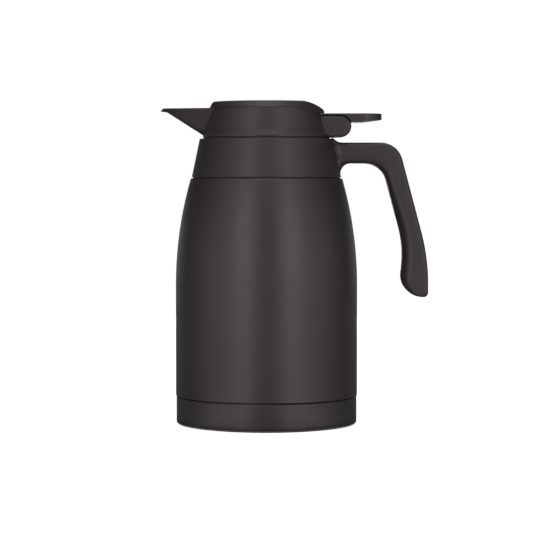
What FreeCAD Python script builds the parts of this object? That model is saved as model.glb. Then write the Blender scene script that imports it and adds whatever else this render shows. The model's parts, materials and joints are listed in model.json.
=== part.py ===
"""Thermal pot with a lever lid, as a parametric document of separate pieces.

Millimetres, +Z up. The origin is on the pot's axis, in the plane that the pot stands on. The spout points
to -X and the handle to +X, so a side view from -Y shows the spout on the left.
"""
import FreeCAD
import Part
import Sketcher

import math
import os
from typing import NamedTuple

Vector = FreeCAD.Vector

SIZES = {
    # steel body
    "body_diameter": 130.8,
    "shoulder_start": 100.8,
    "shoulder_drop": 10.88,
    "shell_height": 177.5,
    "shell_wall": 0.6,
    "shell_edge": 1.1,
    "bottle_wall": 0.5,
    "bottle_corner": 9.0,
    "bottle_shoulder": 5.0,
    "vacuum_gap": 5.2,
    "bottom_flange": 5.6,
    "getter_diameter": 16.0,
    "getter_height": 1.8,
    # base
    "base_height": 21.2,
    "base_inset": 0.4,
    "base_gap": 0.5,
    "base_rim": 0.9,
    "base_wall": 1.6,
    "base_floor": 1.8,
    "base_edge": 2.4,
    "foot_stand": 0.6,
    "foot_inset": 6.0,
    "foot_width": 6.0,
    "foot_recess": 1.0,
    # collar round the neck
    "collar_height": 28.4,
    "collar_rim": 3.65,
    "collar_flare": 5.75,
    "collar_skin": 2.7,
    "collar_sleeve": 2.2,
    "collar_deck": 2.4,
    "collar_edge": 0.9,
    "collar_lip": 1.6,
    "shoulder_ledge": 0.7,
    "mouth_seal_height": 1.0,
    "mouth_seal_width": 3.0,
    # joints between pieces
    "seam_gap": 0.8,
    "seam_depth": 0.9,
    "fit_clearance": 0.12,
    "running_clearance": 0.3,
    # handle
    "handle_drop": 2.8,
    "handle_bar": 15.0,
    "handle_width": 22.0,
    "handle_reach": 50.7,
    "handle_lean": 14.9,
    "handle_tail": 28.3,
    "handle_tail_flat": 6.0,
    "handle_bottom": 92.2,
    "handle_outer_corner": 16.0,
    "handle_inner_corner": 16.4,
    "handle_toe": 15.9,
    "handle_toe_lean": 8.0,
    "handle_toe_flat": 1.0,
    "handle_tip": 3.4,
    "handle_tip_flat": 0.5,
    "handle_back_edge": 2.5,
    "handle_arm_edge": 6.4,
    "handle_grip_edge": 9.2,
    "handle_root_slope": 40.0,
    "handle_root_round": 7.5,
    "handle_root_flat": 2.6,
    "handle_root_blend": 7.0,
    "handle_root_fade": 2.0,
    "handle_screw_drop": 13.0,
    "handle_screw_spread": 12.0,
    "handle_screw_diameter": 3.0,
    "handle_screw_length": 12.0,
    "handle_screw_head": 5.6,
    "handle_screw_sink": 1.3,
    "screw_head_height": 1.4,
    # stopper plug
    "plug_clearance": 1.2,
    "plug_depth": 26.0,
    "plug_wall": 2.0,
    "plug_web": 1.7,
    "gasket_height": 5.0,
    "gasket_width": 3.5,
    "gasket_lip": 1.2,
    "gasket_inset": 1.4,
    "duct_diameter": 17.0,
    "duct_wall": 1.8,
    "duct_seal_height": 1.0,
    "port_inset": 10.5,
    # pour head
    "head_step": 2.35,
    "head_height": 21.7,
    "head_taper": 4.7,
    "head_wall": 2.4,
    "head_floor": 2.4,
    "head_flange": 2.0,
    "head_flange_width": 8.4,
    "bead_gap": 0.9,
    "bead_height": 1.6,
    "bead_depth": 1.5,
    "bead_flare": 3.4,
    "bead_hollow": 6.0,
    "bead_round": 0.5,
    "seat_width": 2.0,
    "seat_height": 2.2,
    # spout
    "spout_length": 30.4,
    "spout_lip": 4.6,
    "spout_lip_depth": 2.8,
    "spout_tip_depth": 1.9,
    "spout_tip_drop": 0.3,
    "spout_rise": 0.1,
    "spout_root_width": 30.0,
    "spout_keel_round": 6.0,
    "spout_tip_slant": 1.8,
    "spout_lip_width": 11.0,
    "spout_tip_width": 8.0,
    "spout_wall": 1.8,
    "spout_lip_wall": 1.4,
    # hinge
    "pin_offset": 7.1,
    "pin_diameter": 3.0,
    "ear_gap": 22.6,
    "ear_thickness": 5.4,
    "ear_edge": 2.4,
    "ear_floor": 1.6,
    "pin_cover": 1.1,
    "lug_gap": 0.9,
    "spring_wire": 1.0,
    "spring_diameter": 5.6,
    "spring_pitch": 1.5,
    "spring_turns": 5,
    "spring_side_gap": 0.86,
    # lid and lever
    "lid_height": 5.25,
    "lid_crown": 0.45,
    "lid_taper": 2.4,
    "lid_edge": 2.0,
    "lid_roof": 2.2,
    "lid_rear_radius": 35.0,
    "lid_rear_run": 20.3,
    "lid_wall": 1.6,
    "lid_hollow_shift": 5.0,
    "dip_run": 17.0,
    "dip_rest": 4.5,
    "dip_round": 26.0,
    "dip_overrun": 1.5,
    "dish_clearance": 1.6,
    "dish_floor": 2.0,
    "dish_rim": 2.2,
    "lever_plate": 1.0,
    "lever_drop": 3.8,
    "lever_reach": 29.85,
    "lever_tip_round": 14.0,
    "paddle_thickness": 6.3,
    "paddle_tip": 4.4,
    "paddle_flat": 15.2,
    "lever_edge": 0.8,
    "seal_overlap": 2.0,
    "seal_height": 2.4,
    "seal_plate": 2.0,
    "seal_post_diameter": 10.0,
    "seal_stud_diameter": 5.0,
    "lid_screw_inset": 10.0,
    "lid_screw_diameter": 2.6,
    "lid_screw_head": 5.0,
    "lid_screw_length": 5.4,
    "lid_boss_wall": 1.6,
}

PLACES = {
    # steel body
    "body_r": "sizes.body_diameter / 2",
    "shell_top_r": "place.body_r - sizes.shoulder_drop",
    "collar_foot_r": "place.shell_top_r - sizes.shoulder_ledge",
    "collar_top_r": "place.collar_foot_r - sizes.collar_flare",
    "collar_bore": "place.collar_top_r - sizes.collar_rim",
    "neck_r": "place.collar_bore - sizes.fit_clearance",
    "mouth_r": "place.neck_r - sizes.shell_wall - sizes.vacuum_gap - sizes.bottle_wall",
    "base_r": "place.body_r - sizes.base_inset",
    "skirt_r": "place.base_r - sizes.base_wall - sizes.fit_clearance",
    "cup_floor": "sizes.foot_stand + sizes.base_floor",
    "disc_top": "place.cup_floor + sizes.bottom_flange",
    "foot_out_r": "place.base_r - sizes.foot_inset",
    "foot_in_r": "place.foot_out_r - sizes.foot_width",
    "bottle_foot": "place.disc_top + sizes.vacuum_gap",
    "collar_foot": "sizes.shell_height + sizes.seam_gap",
    "collar_top": "sizes.shell_height + sizes.collar_height",
    "collar_slope": "sizes.collar_flare / (place.collar_top - place.collar_foot)",
    "sleeve_r": "place.collar_bore + sizes.collar_sleeve",
    "collar_apex": "place.collar_foot + (place.collar_foot_r - sizes.collar_skin - place.sleeve_r)"
                   " / place.collar_slope",
    "deck_under": "place.collar_top - sizes.collar_deck",
    "lip_r": "place.mouth_r + sizes.collar_lip",
    "neck_top": "place.deck_under - sizes.mouth_seal_height - sizes.bottle_wall",
    "shoulder_rise": "sizes.shell_height - sizes.shoulder_start",
    "shoulder_arc": "(place.shoulder_rise^2 + sizes.shoulder_drop^2) / (2 * sizes.shoulder_drop)",
    "shoulder_axis": "place.body_r - place.shoulder_arc",
    "shell_arc_in": "place.shoulder_arc - sizes.shell_wall",
    "shell_deck_under": "sizes.shell_height - sizes.shell_wall",
    "shell_in_top_r": "place.shoulder_axis + sqrt(place.shell_arc_in^2"
                      " - (place.shoulder_rise - sizes.shell_wall)^2)",
    "bottle_r": "place.body_r - sizes.shell_wall - sizes.vacuum_gap",
    "bottle_in_r": "place.bottle_r - sizes.bottle_wall",
    "bottle_arc": "place.shell_arc_in - sizes.vacuum_gap",
    "bottle_arc_in": "place.bottle_arc - sizes.bottle_wall",
    "bottle_top": "place.shell_deck_under - sizes.vacuum_gap",
    "bottle_top_in": "place.bottle_top - sizes.bottle_wall",
    "bottle_top_r": "place.shoulder_axis + sqrt(place.bottle_arc^2"
                    " - (place.bottle_top - sizes.shoulder_start)^2)",
    "bottle_in_top_r": "place.shoulder_axis + sqrt(place.bottle_arc_in^2"
                       " - (place.bottle_top_in - sizes.shoulder_start)^2)",
    # handle
    "handle_top": "place.collar_top - sizes.handle_drop",
    "handle_under": "place.handle_top - sizes.handle_bar",
    "handle_out": "place.body_r + sizes.handle_reach",
    "handle_half": "sizes.handle_width / 2",
    "handle_bend": "sizes.handle_bottom + sizes.handle_tail",
    "handle_sweep": "(sizes.handle_tail - sizes.handle_tip - sizes.handle_tail_flat)"
                    " / tan(sizes.handle_lean / 2)",
    "handle_gusset": "place.handle_under - place.collar_foot - sizes.handle_root_flat",
    "handle_grip_shift": "sizes.handle_bar / cos(sizes.handle_lean)",
    "handle_top_end": "place.handle_out - (place.handle_top - place.handle_bend) * tan(sizes.handle_lean)",
    "handle_under_end": "place.handle_out - place.handle_grip_shift"
                        " - (place.handle_under - place.handle_bend) * tan(sizes.handle_lean)",
    "handle_toe_x": "place.handle_out - sizes.handle_tip - sizes.handle_tip_flat"
                    " - sizes.handle_toe * tan((90 + sizes.handle_toe_lean) / 2)",
    "handle_waist_z": "sizes.handle_bottom + (place.handle_out - place.handle_grip_shift"
                      " - place.handle_toe_x + (place.handle_bend - sizes.handle_bottom)"
                      " * tan(sizes.handle_lean)) / (tan(sizes.handle_lean) + tan(sizes.handle_toe_lean))",
    "handle_waist_x": "place.handle_toe_x + (place.handle_waist_z - sizes.handle_bottom)"
                      " * tan(sizes.handle_toe_lean)",
    "handle_hollow": "((place.handle_waist_z - sizes.handle_bottom) / cos(sizes.handle_toe_lean)"
                     " - sizes.handle_toe * tan((90 + sizes.handle_toe_lean) / 2) - sizes.handle_toe_flat)"
                     " / tan((sizes.handle_lean + sizes.handle_toe_lean) / 2)",
    "handle_root_x": "place.collar_foot_r - sizes.shoulder_ledge",
    "handle_root_end": "place.collar_foot_r + sizes.handle_root_blend",
    "handle_screw_z": "place.collar_top - sizes.handle_screw_drop",
    "handle_screw_y": "sizes.handle_screw_spread / 2",
    "handle_screw_seat": "sqrt((place.collar_top_r + sizes.handle_screw_drop * place.collar_slope"
                         " - sizes.collar_skin)^2 - place.handle_screw_y^2) + sizes.handle_screw_sink",
    # stopper plug
    "plug_r": "place.mouth_r - sizes.plug_clearance",
    "plug_in_r": "place.plug_r - sizes.plug_wall",
    "plug_foot": "place.collar_top - sizes.plug_depth",
    "gasket_foot": "place.plug_foot + sizes.gasket_inset",
    "groove_top": "place.gasket_foot + sizes.gasket_height + sizes.running_clearance",
    "plug_floor": "place.groove_top + sizes.plug_web",
    "gasket_r": "place.mouth_r - sizes.running_clearance",
    "gasket_in_r": "place.gasket_r - sizes.gasket_width",
    "groove_r": "place.gasket_in_r - sizes.running_clearance",
    "duct_r": "sizes.duct_diameter / 2",
    "duct_out_r": "place.duct_r + sizes.duct_wall",
    "port_x": "-(place.plug_in_r - place.duct_out_r - sizes.port_inset)",
    # pour head
    "head_bottom": "place.collar_top + sizes.running_clearance",
    "head_floor_under": "place.head_bottom + sizes.head_flange",
    "head_floor_top": "place.head_floor_under + sizes.head_floor",
    "head_top": "place.collar_top + sizes.head_height",
    "bead_r": "place.collar_top_r - sizes.head_step",
    "bead_bottom": "place.collar_top + sizes.bead_gap",
    "bead_top": "place.bead_bottom + sizes.bead_height",
    "head_foot": "place.bead_top + sizes.bead_flare",
    "head_foot_r": "place.bead_r - sizes.bead_depth",
    "head_top_r": "place.bead_r - sizes.head_taper",
    "head_slope": "(place.head_foot_r - place.head_top_r) / (place.head_top - place.head_foot)",
    "head_in_top_r": "place.head_top_r - sizes.head_wall",
    "head_in_foot_r": "place.head_in_top_r + (place.head_top - place.head_floor_top) * place.head_slope",
    "flange_in_r": "place.plug_r + sizes.fit_clearance",
    "flange_r": "place.flange_in_r + sizes.head_flange_width",
    "seat_r": "place.duct_r + sizes.seat_width",
    "seat_top": "place.head_floor_top + sizes.seat_height",
    # spout
    "spout_tip": "-(place.bead_r + sizes.spout_length)",
    "spout_lip_x": "place.spout_tip + sizes.spout_lip",
    "spout_root": "-place.bead_r",
    "spout_inside": "-(place.head_in_top_r - 3 * sizes.head_wall)",
    "spout_bottom": "place.head_floor_under + sizes.spout_rise",
    "spout_lip_bottom": "place.head_top - sizes.spout_lip_depth",
    "spout_spread": "(sizes.spout_root_width - sizes.spout_lip_width) / 2"
                    " / (place.spout_root - place.spout_lip_x)",
    "spout_tip_top": "place.head_top - sizes.spout_tip_drop",
    "spout_tip_bottom": "place.spout_tip_top - sizes.spout_tip_depth",
    # hinge
    "pin_x": "place.bead_r + sizes.pin_offset",
    "lever_top": "place.head_top - sizes.lever_drop",
    "lever_under": "place.lever_top - sizes.lever_plate",
    "ear_top": "place.lever_under - sizes.running_clearance",
    "ear_bottom": "place.bead_bottom",
    "ear_radius": "(place.ear_top - place.ear_bottom) / 2",
    "pin_z": "place.ear_bottom + place.ear_radius",
    "pin_r": "sizes.pin_diameter / 2",
    "ear_half": "sizes.ear_gap / 2 + sizes.ear_thickness",
    "lug_half": "sizes.ear_gap / 2 - sizes.running_clearance",
    "lug_radius": "place.ear_radius - sizes.ear_floor - sizes.lug_gap",
    "spring_quarters": "4 * sizes.spring_turns + 1",
    "lug_in_half": "(place.spring_quarters * sizes.spring_pitch / 4 + sizes.spring_wire) / 2"
                   " + sizes.spring_side_gap",
    "spring_leg_down": "(place.ear_radius - sizes.ear_floor - sizes.running_clearance) / cos(45)"
                       " - sizes.spring_diameter / 2 - sizes.spring_wire / 2",
    "spring_leg_up": "(place.lever_arc - sizes.running_clearance) / cos(45)"
                     " - sizes.spring_diameter / 2 - sizes.spring_wire / 2",
    "pin_end": "place.ear_half - sizes.pin_cover",
    # lid and lever
    "lever_arc": "place.ear_radius + sizes.running_clearance",
    "lever_tip": "place.pin_x + sizes.lever_reach",
    "paddle_under": "place.lever_top - sizes.paddle_thickness",
    "paddle_tip_under": "place.lever_top - sizes.paddle_tip",
    "paddle_root": "place.pin_x + sqrt(place.lever_arc^2 - (place.paddle_under - place.pin_z)^2)",
    "paddle_flat_end": "place.pin_x + sizes.paddle_flat",
    "lid_foot": "place.head_top + sizes.running_clearance",
    "lid_top": "place.head_top + sizes.lid_height",
    "lid_rim_top": "place.lid_top - sizes.lid_crown",
    "lid_top_r": "place.head_top_r - sizes.lid_taper",
    "lid_crown_arc": "(place.lid_top_r^2 + sizes.lid_crown^2) / (2 * sizes.lid_crown)",
    "lid_skirt_r": "place.head_top_r + (place.head_top - place.lever_under) * place.head_slope",
    "lid_roof_under": "place.lid_rim_top - sizes.lid_roof",
    "lid_rear_x": "place.head_top_r + sizes.dip_overrun",
    "lid_rear_start": "place.head_top_r - sizes.lid_rear_run",
    "dip_start": "place.head_top_r - sizes.dip_run",
    "dip_end": "place.head_top_r - sizes.dip_rest",
    "dip_lead": "place.dip_start - sizes.dip_run / 2",
    "lid_hollow_r": "place.lid_top_r - sizes.lid_hollow_shift - sizes.lid_wall",
    "lid_screw_ring": "place.lid_hollow_r - sizes.lid_screw_inset",
    "seal_r": "place.seat_r + sizes.seal_overlap",
    "lid_rear_end": "place.lid_rear_start + sqrt(sizes.lid_rear_radius^2"
                    " - (sizes.lid_rear_radius - place.lid_top + place.lever_under)^2)",
    "dish_r": "place.head_in_top_r - sizes.dish_clearance",
    "dish_top": "place.lever_under + sizes.dish_floor",
    "seal_bottom": "place.seat_top + sizes.running_clearance",
    "seal_top": "place.seal_bottom + sizes.seal_height",
    "seal_plate_top": "place.seal_top + sizes.seal_plate",
    "lid_boss_r": "sizes.lid_screw_diameter / 2 + sizes.lid_boss_wall",
}

SPARE = 20.0
"""How far a cutting tool reaches past what it cuts."""


class Corner(NamedTuple):
    """A corner of an outline: its place, its rounding, or the radius of the arc that leaves it.

    The arc bulges to the right of the way along the outline, or to the left where bulges_left is set.
    """

    across: str
    up: str
    rounding: str = ""
    arc: str = ""
    bulges_left: bool = False


doc = FreeCAD.newDocument("thermal_pot")
pieces = []


def make_sheet(name, cells):
    """Writes a spreadsheet with one named cell per row and a note of its name beside it."""
    sheet = doc.addObject("Spreadsheet::Sheet", name)
    for row, (alias, content) in enumerate(cells.items(), start=1):
        sheet.set(f"A{row}", alias)
        sheet.set(f"B{row}", str(content) if isinstance(content, (int, float)) else f"={content}")
        sheet.setAlias(f"B{row}", alias)
    doc.recompute()
    return sheet


sizes = make_sheet("sizes", SIZES)
place = make_sheet("place", PLACES)


def number(expression):
    """Gives the value of an expression over the two sheets."""
    return float(place.evalExpression(expression))


def new_body(name):
    """Starts a body for one piece."""
    return doc.addObject("PartDesign::Body", name)


def keep(name, result):
    """Names the finished object of a piece and lists it for writing."""
    result.Label = name
    pieces.append(result)
    return result


def new_sketch(body, name, role, offset=""):
    """Starts a sketch on one of the body's own origin planes, shifted along the plane's normal."""
    sketch = body.newObject("Sketcher::SketchObject", name)
    plane = next(item for item in body.Origin.OriginFeatures if item.Role == role)
    sketch.AttachmentSupport = [(plane, "")]
    sketch.MapMode = "FlatFace"
    if offset:
        sketch.setExpression("AttachmentOffset.Base.z", offset)
    return sketch


def place_point(sketch, geometry, position, across, up):
    """Fixes a point of the sketch at two expressions."""
    for kind, axis, expression in (("DistanceX", -2, across), ("DistanceY", -1, up)):
        if expression == "0":
            sketch.addConstraint(Sketcher.Constraint("PointOnObject", geometry, position, axis))
        else:
            rule = Sketcher.Constraint(kind, -1, 1, geometry, position, number(expression))
            index = sketch.addConstraint(rule)
            sketch.setExpression(f"Constraints[{index}]", expression)


def set_radius(sketch, geometry, expression):
    """Binds the radius of an arc or circle."""
    index = sketch.addConstraint(Sketcher.Constraint("Radius", geometry, number(expression)))
    sketch.setExpression(f"Constraints[{index}]", expression)


def arc_between(start, end, radius, bulges_left):
    """Gives the arc of under a half circle from start to end, and which of its ends is at start."""
    chord = end - start
    to_right = Vector(chord.y, -chord.x, 0).normalize()
    side = 1 if bulges_left else -1
    centre = (start + end) * 0.5 + to_right * side * math.sqrt(radius**2 - (chord.Length / 2) ** 2)
    circle = Part.Circle(centre, Vector(0, 0, 1), radius)
    first, last = (end, start) if bulges_left else (start, end)
    angles = [math.atan2(point.y - centre.y, point.x - centre.x) for point in (first, last)]
    return Part.ArcOfCircle(circle, *angles), 2 if bulges_left else 1


def add_outline(sketch, corners):
    """Draws a closed outline of lines and arcs, with rounded corners where a corner asks for one."""
    count = len(corners)
    spots = [Vector(number(corner.across), number(corner.up), 0) for corner in corners]
    arrive = list(spots)
    leave = list(spots)
    for index, corner in enumerate(corners):
        if corner.rounding:
            back = (spots[index - 1] - spots[index]).normalize()
            ahead = (spots[(index + 1) % count] - spots[index]).normalize()
            reach = number(corner.rounding) / math.tan(back.getAngle(ahead) / 2)
            arrive[index] = spots[index] + back * reach
            leave[index] = spots[index] + ahead * reach
    runs = []
    for index, corner in enumerate(corners):
        start = leave[index]
        end = arrive[(index + 1) % count]
        if corner.arc:
            curve, head = arc_between(start, end, number(corner.arc), corner.bulges_left)
        else:
            curve, head = Part.LineSegment(start, end), 1
        runs.append((sketch.addGeometry(curve, False), head, 3 - head))
    for index, corner in enumerate(corners):
        run, head, _ = runs[index]
        last_run, _, last_tail = runs[index - 1]
        if corner.arc:
            set_radius(sketch, run, corner.arc)
        if not corner.rounding:
            sketch.addConstraint(Sketcher.Constraint("Coincident", last_run, last_tail, run, head))
            place_point(sketch, run, head, corner.across, corner.up)
            continue
        turn = (spots[index] - arrive[index]).cross(leave[index] - spots[index]).z
        curve, arc_head = arc_between(arrive[index], leave[index], number(corner.rounding), turn < 0)
        rounding = sketch.addGeometry(curve, False)
        point = sketch.addGeometry(Part.Point(spots[index]), True)
        sketch.addConstraint([
            Sketcher.Constraint("PointOnObject", point, 1, last_run),
            Sketcher.Constraint("PointOnObject", point, 1, run),
            Sketcher.Constraint("Tangent", last_run, last_tail, rounding, arc_head),
            Sketcher.Constraint("Tangent", run, head, rounding, 3 - arc_head),
        ])
        place_point(sketch, point, 1, corner.across, corner.up)
        set_radius(sketch, rounding, corner.rounding)


def add_circle(sketch, across, up, radius):
    """Draws a circle at two expressions."""
    centre = Vector(number(across), number(up), 0)
    circle = sketch.addGeometry(Part.Circle(centre, Vector(0, 0, 1), number(radius)), False)
    place_point(sketch, circle, 3, across, up)
    set_radius(sketch, circle, radius)


def turned(body, name, corners, kind="PartDesign::Revolution"):
    """Turns an outline of radius and height about the body's Z axis, as a solid or a groove."""
    sketch = new_sketch(body, f"{name}_outline", "XZ_Plane")
    add_outline(sketch, corners)
    feature = body.newObject(kind, name)
    feature.Profile = sketch
    feature.ReferenceAxis = (sketch, ["V_Axis"])
    feature.Angle = 360
    doc.recompute()
    return feature


def extruded(body, name, sketch, length, kind="PartDesign::Pad", symmetric=False, backwards=False):
    """Pads or pockets a sketch by a length, or right through where the length is empty."""
    feature = body.newObject(kind, name)
    feature.Profile = sketch
    feature.SideType = "Symmetric" if symmetric else "One side"
    feature.Reversed = backwards
    if length:
        feature.setExpression("Length", length)
    else:
        feature.Type = "ThroughAll"
    doc.recompute()
    return feature


def side_cut(body, name, corners, width=""):
    """Cuts a side outline out of the body, through a width across the middle plane or right through."""
    sketch = new_sketch(body, f"{name}_outline", "XZ_Plane")
    add_outline(sketch, corners)
    return extruded(body, name, sketch, width, kind="PartDesign::Pocket", symmetric=True)


def drilled(body, name, level, circles, length, upwards=True):
    """Cuts round holes that start at a level, up or down."""
    sketch = new_sketch(body, f"{name}_outline", "XY_Plane", level)
    for across, up, radius in circles:
        add_circle(sketch, across, up, radius)
    return extruded(body, name, sketch, length, kind="PartDesign::Pocket", backwards=upwards)


def rounded(body, name, feature, edges, radius):
    """Rounds edges of the last feature."""
    fillet = body.newObject("PartDesign::Fillet", name)
    fillet.Base = (feature, edges)
    fillet.setExpression("Radius", radius)
    doc.recompute()
    return fillet


def ring_edges(shape, radius, height):
    """Names the round edges about the Z axis at a radius and a height, given as expressions."""
    wanted = (number(radius), number(height))
    names = []
    for index, edge in enumerate(shape.Edges, start=1):
        if edge.Degenerated:
            continue
        curve = edge.Curve
        if not isinstance(curve, Part.Circle) or abs(curve.Axis.z) < 0.999:
            continue
        if math.hypot(curve.Center.x, curve.Center.y) > 0.01:
            continue
        if abs(curve.Radius - wanted[0]) < 0.01 and abs(curve.Center.z - wanted[1]) < 0.01:
            names.append(f"Edge{index}")
    return names


def make_outer_shell():
    """Thin steel wall: skirt inside the base, straight side, curved shoulder, deck and neck."""
    body = new_body("outer_shell_body")
    wall = turned(body, "outer_shell_wall", [
        Corner("place.skirt_r", "place.cup_floor"),
        Corner("place.skirt_r", "sizes.base_height"),
        Corner("place.body_r", "sizes.base_height", rounding="sizes.shell_wall / 2"),
        Corner("place.body_r", "sizes.shoulder_start", arc="place.shoulder_arc"),
        Corner("place.shell_top_r", "sizes.shell_height"),
        Corner("place.neck_r", "sizes.shell_height"),
        Corner("place.neck_r", "place.neck_top"),
        Corner("place.neck_r - sizes.shell_wall", "place.neck_top"),
        Corner("place.neck_r - sizes.shell_wall", "place.shell_deck_under"),
        Corner("place.shell_in_top_r", "place.shell_deck_under", arc="place.shell_arc_in", bulges_left=True),
        Corner("place.body_r - sizes.shell_wall", "sizes.shoulder_start"),
        Corner("place.body_r - sizes.shell_wall", "sizes.base_height + sizes.shell_wall"),
        Corner("place.skirt_r - sizes.shell_wall", "sizes.base_height + sizes.shell_wall"),
        Corner("place.skirt_r - sizes.shell_wall", "place.cup_floor"),
    ])
    top_edge = ring_edges(wall.Shape, "place.shell_top_r", "sizes.shell_height")
    rounded(body, "outer_shell_edge", wall, top_edge, "sizes.shell_edge")
    keep("outer_shell", body)


def make_shell_bottom():
    """Dished steel disc that closes the outer wall below."""
    body = new_body("shell_bottom_body")
    outside = "place.skirt_r - sizes.shell_wall"
    inside = "place.skirt_r - 2 * sizes.shell_wall"
    turned(body, "shell_bottom_dish", [
        Corner("0", "place.disc_top - sizes.shell_wall"),
        Corner(inside, "place.disc_top - sizes.shell_wall"),
        Corner(inside, "place.cup_floor"),
        Corner(outside, "place.cup_floor"),
        Corner(outside, "place.disc_top", rounding="sizes.shell_wall"),
        Corner("0", "place.disc_top"),
    ])
    keep("shell_bottom", body)


def make_inner_bottle():
    """Thin steel bottle inside the wall, with a rim that lies on the neck of the wall."""
    body = new_body("inner_bottle_body")
    wall = turned(body, "inner_bottle_wall", [
        Corner("0", "place.bottle_foot"),
        Corner("place.bottle_r", "place.bottle_foot", rounding="sizes.bottle_corner"),
        Corner("place.bottle_r", "sizes.shoulder_start", arc="place.bottle_arc"),
        Corner("place.bottle_top_r", "place.bottle_top"),
        Corner("place.mouth_r + sizes.bottle_wall", "place.bottle_top"),
        Corner("place.mouth_r + sizes.bottle_wall", "place.neck_top"),
        Corner("place.neck_r", "place.neck_top"),
        Corner("place.neck_r", "place.neck_top + sizes.bottle_wall"),
        Corner("place.mouth_r", "place.neck_top + sizes.bottle_wall"),
        Corner("place.mouth_r", "place.bottle_top_in"),
        Corner("place.bottle_in_top_r", "place.bottle_top_in", arc="place.bottle_arc_in", bulges_left=True),
        Corner("place.bottle_in_r", "sizes.shoulder_start"),
        Corner("place.bottle_in_r", "place.bottle_foot + sizes.bottle_wall",
               rounding="sizes.bottle_corner - sizes.bottle_wall"),
        Corner("0", "place.bottle_foot + sizes.bottle_wall"),
    ])
    outside = ring_edges(wall.Shape, "place.bottle_top_r", "place.bottle_top")
    shoulder = rounded(body, "inner_bottle_shoulder", wall, outside, "sizes.bottle_shoulder")
    inside = ring_edges(shoulder.Shape, "place.bottle_in_top_r", "place.bottle_top_in")
    rounded(body, "inner_bottle_shoulder_inside", shoulder, inside, "sizes.bottle_shoulder - sizes.bottle_wall")
    keep("inner_bottle", body)


def make_getter():
    """Small pellet cup on the vacuum side of the bottom disc."""
    pellet = doc.addObject("Part::Cylinder", "getter_pellet")
    pellet.setExpression("Radius", "sizes.getter_diameter / 2")
    pellet.setExpression("Height", "sizes.getter_height")
    pellet.setExpression("Placement.Base.z", "place.disc_top")
    keep("getter", pellet)


def make_base_cup():
    """Moulded cup under the steel wall, with a recess for the foot ring."""
    body = new_body("base_cup_body")
    ring_in = "place.foot_in_r - sizes.fit_clearance"
    ring_out = "place.foot_out_r + sizes.fit_clearance"
    recess = "sizes.foot_stand + sizes.foot_recess"
    rim = "sizes.base_height - sizes.base_gap"
    turned(body, "base_cup_wall", [
        Corner("0", "sizes.foot_stand"),
        Corner(ring_in, "sizes.foot_stand"),
        Corner(ring_in, recess),
        Corner(ring_out, recess),
        Corner(ring_out, "sizes.foot_stand"),
        Corner("place.base_r", "sizes.foot_stand", rounding="sizes.base_edge"),
        Corner("place.base_r", rim, rounding="sizes.base_rim"),
        Corner("place.base_r - sizes.base_wall", rim),
        Corner("place.base_r - sizes.base_wall", "place.cup_floor"),
        Corner("0", "place.cup_floor"),
    ])
    keep("base_cup", body)


def make_foot_ring():
    """Soft ring in the recess of the base, which the pot stands on."""
    body = new_body("foot_ring_body")
    inside = "place.foot_in_r"
    outside = "place.foot_out_r"
    turned(body, "foot_ring_band", [
        Corner(inside, "0", rounding="sizes.foot_stand / 2"),
        Corner(outside, "0", rounding="sizes.foot_stand / 2"),
        Corner(outside, "sizes.foot_stand + sizes.foot_recess"),
        Corner(inside, "sizes.foot_stand + sizes.foot_recess"),
    ])
    keep("foot_ring", body)


def make_shoulder_collar():
    """Moulded cone round the neck: outer skin, inner sleeve and a deck that covers the steel rim."""
    body = new_body("shoulder_collar_body")
    turned(body, "shoulder_collar_cone", [
        Corner("place.collar_bore", "sizes.shell_height"),
        Corner("place.sleeve_r", "sizes.shell_height"),
        Corner("place.sleeve_r", "place.collar_apex"),
        Corner("place.collar_foot_r - sizes.collar_skin", "place.collar_foot"),
        Corner("place.collar_foot_r - sizes.collar_skin", "sizes.shell_height"),
        Corner("place.collar_foot_r - sizes.seam_depth", "sizes.shell_height"),
        Corner("place.collar_foot_r - sizes.seam_depth", "place.collar_foot"),
        Corner("place.collar_foot_r", "place.collar_foot", rounding="sizes.running_clearance"),
        Corner("place.collar_top_r", "place.collar_top", rounding="sizes.collar_edge"),
        Corner("place.lip_r", "place.collar_top", rounding="sizes.collar_edge"),
        Corner("place.lip_r", "place.deck_under"),
        Corner("place.collar_bore", "place.deck_under"),
    ])
    for name, start, radius, length in (
        ("handle_screw_access", "0", "sizes.handle_screw_head / 2", "place.handle_screw_seat"),
        ("handle_screw_hole", "0", "sizes.handle_screw_diameter / 2", "place.collar_foot_r"),
    ):
        sketch = new_sketch(body, f"{name}_outline", "YZ_Plane", start)
        for side in ("-", ""):
            add_circle(sketch, f"{side}place.handle_screw_y", "place.handle_screw_z",
                       f"{radius} + sizes.fit_clearance")
        extruded(body, name, sketch, length, kind="PartDesign::Pocket", backwards=True)
    keep("shoulder_collar", body)


def make_mouth_seal():
    """Silicone ring between the steel rim and the collar's deck."""
    body = new_body("mouth_seal_body")
    turned(body, "mouth_seal_ring", [
        Corner("place.neck_r - sizes.mouth_seal_width", "place.neck_top + sizes.bottle_wall"),
        Corner("place.neck_r", "place.neck_top + sizes.bottle_wall"),
        Corner("place.neck_r", "place.deck_under"),
        Corner("place.neck_r - sizes.mouth_seal_width", "place.deck_under"),
    ])
    keep("mouth_seal", body)


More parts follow.
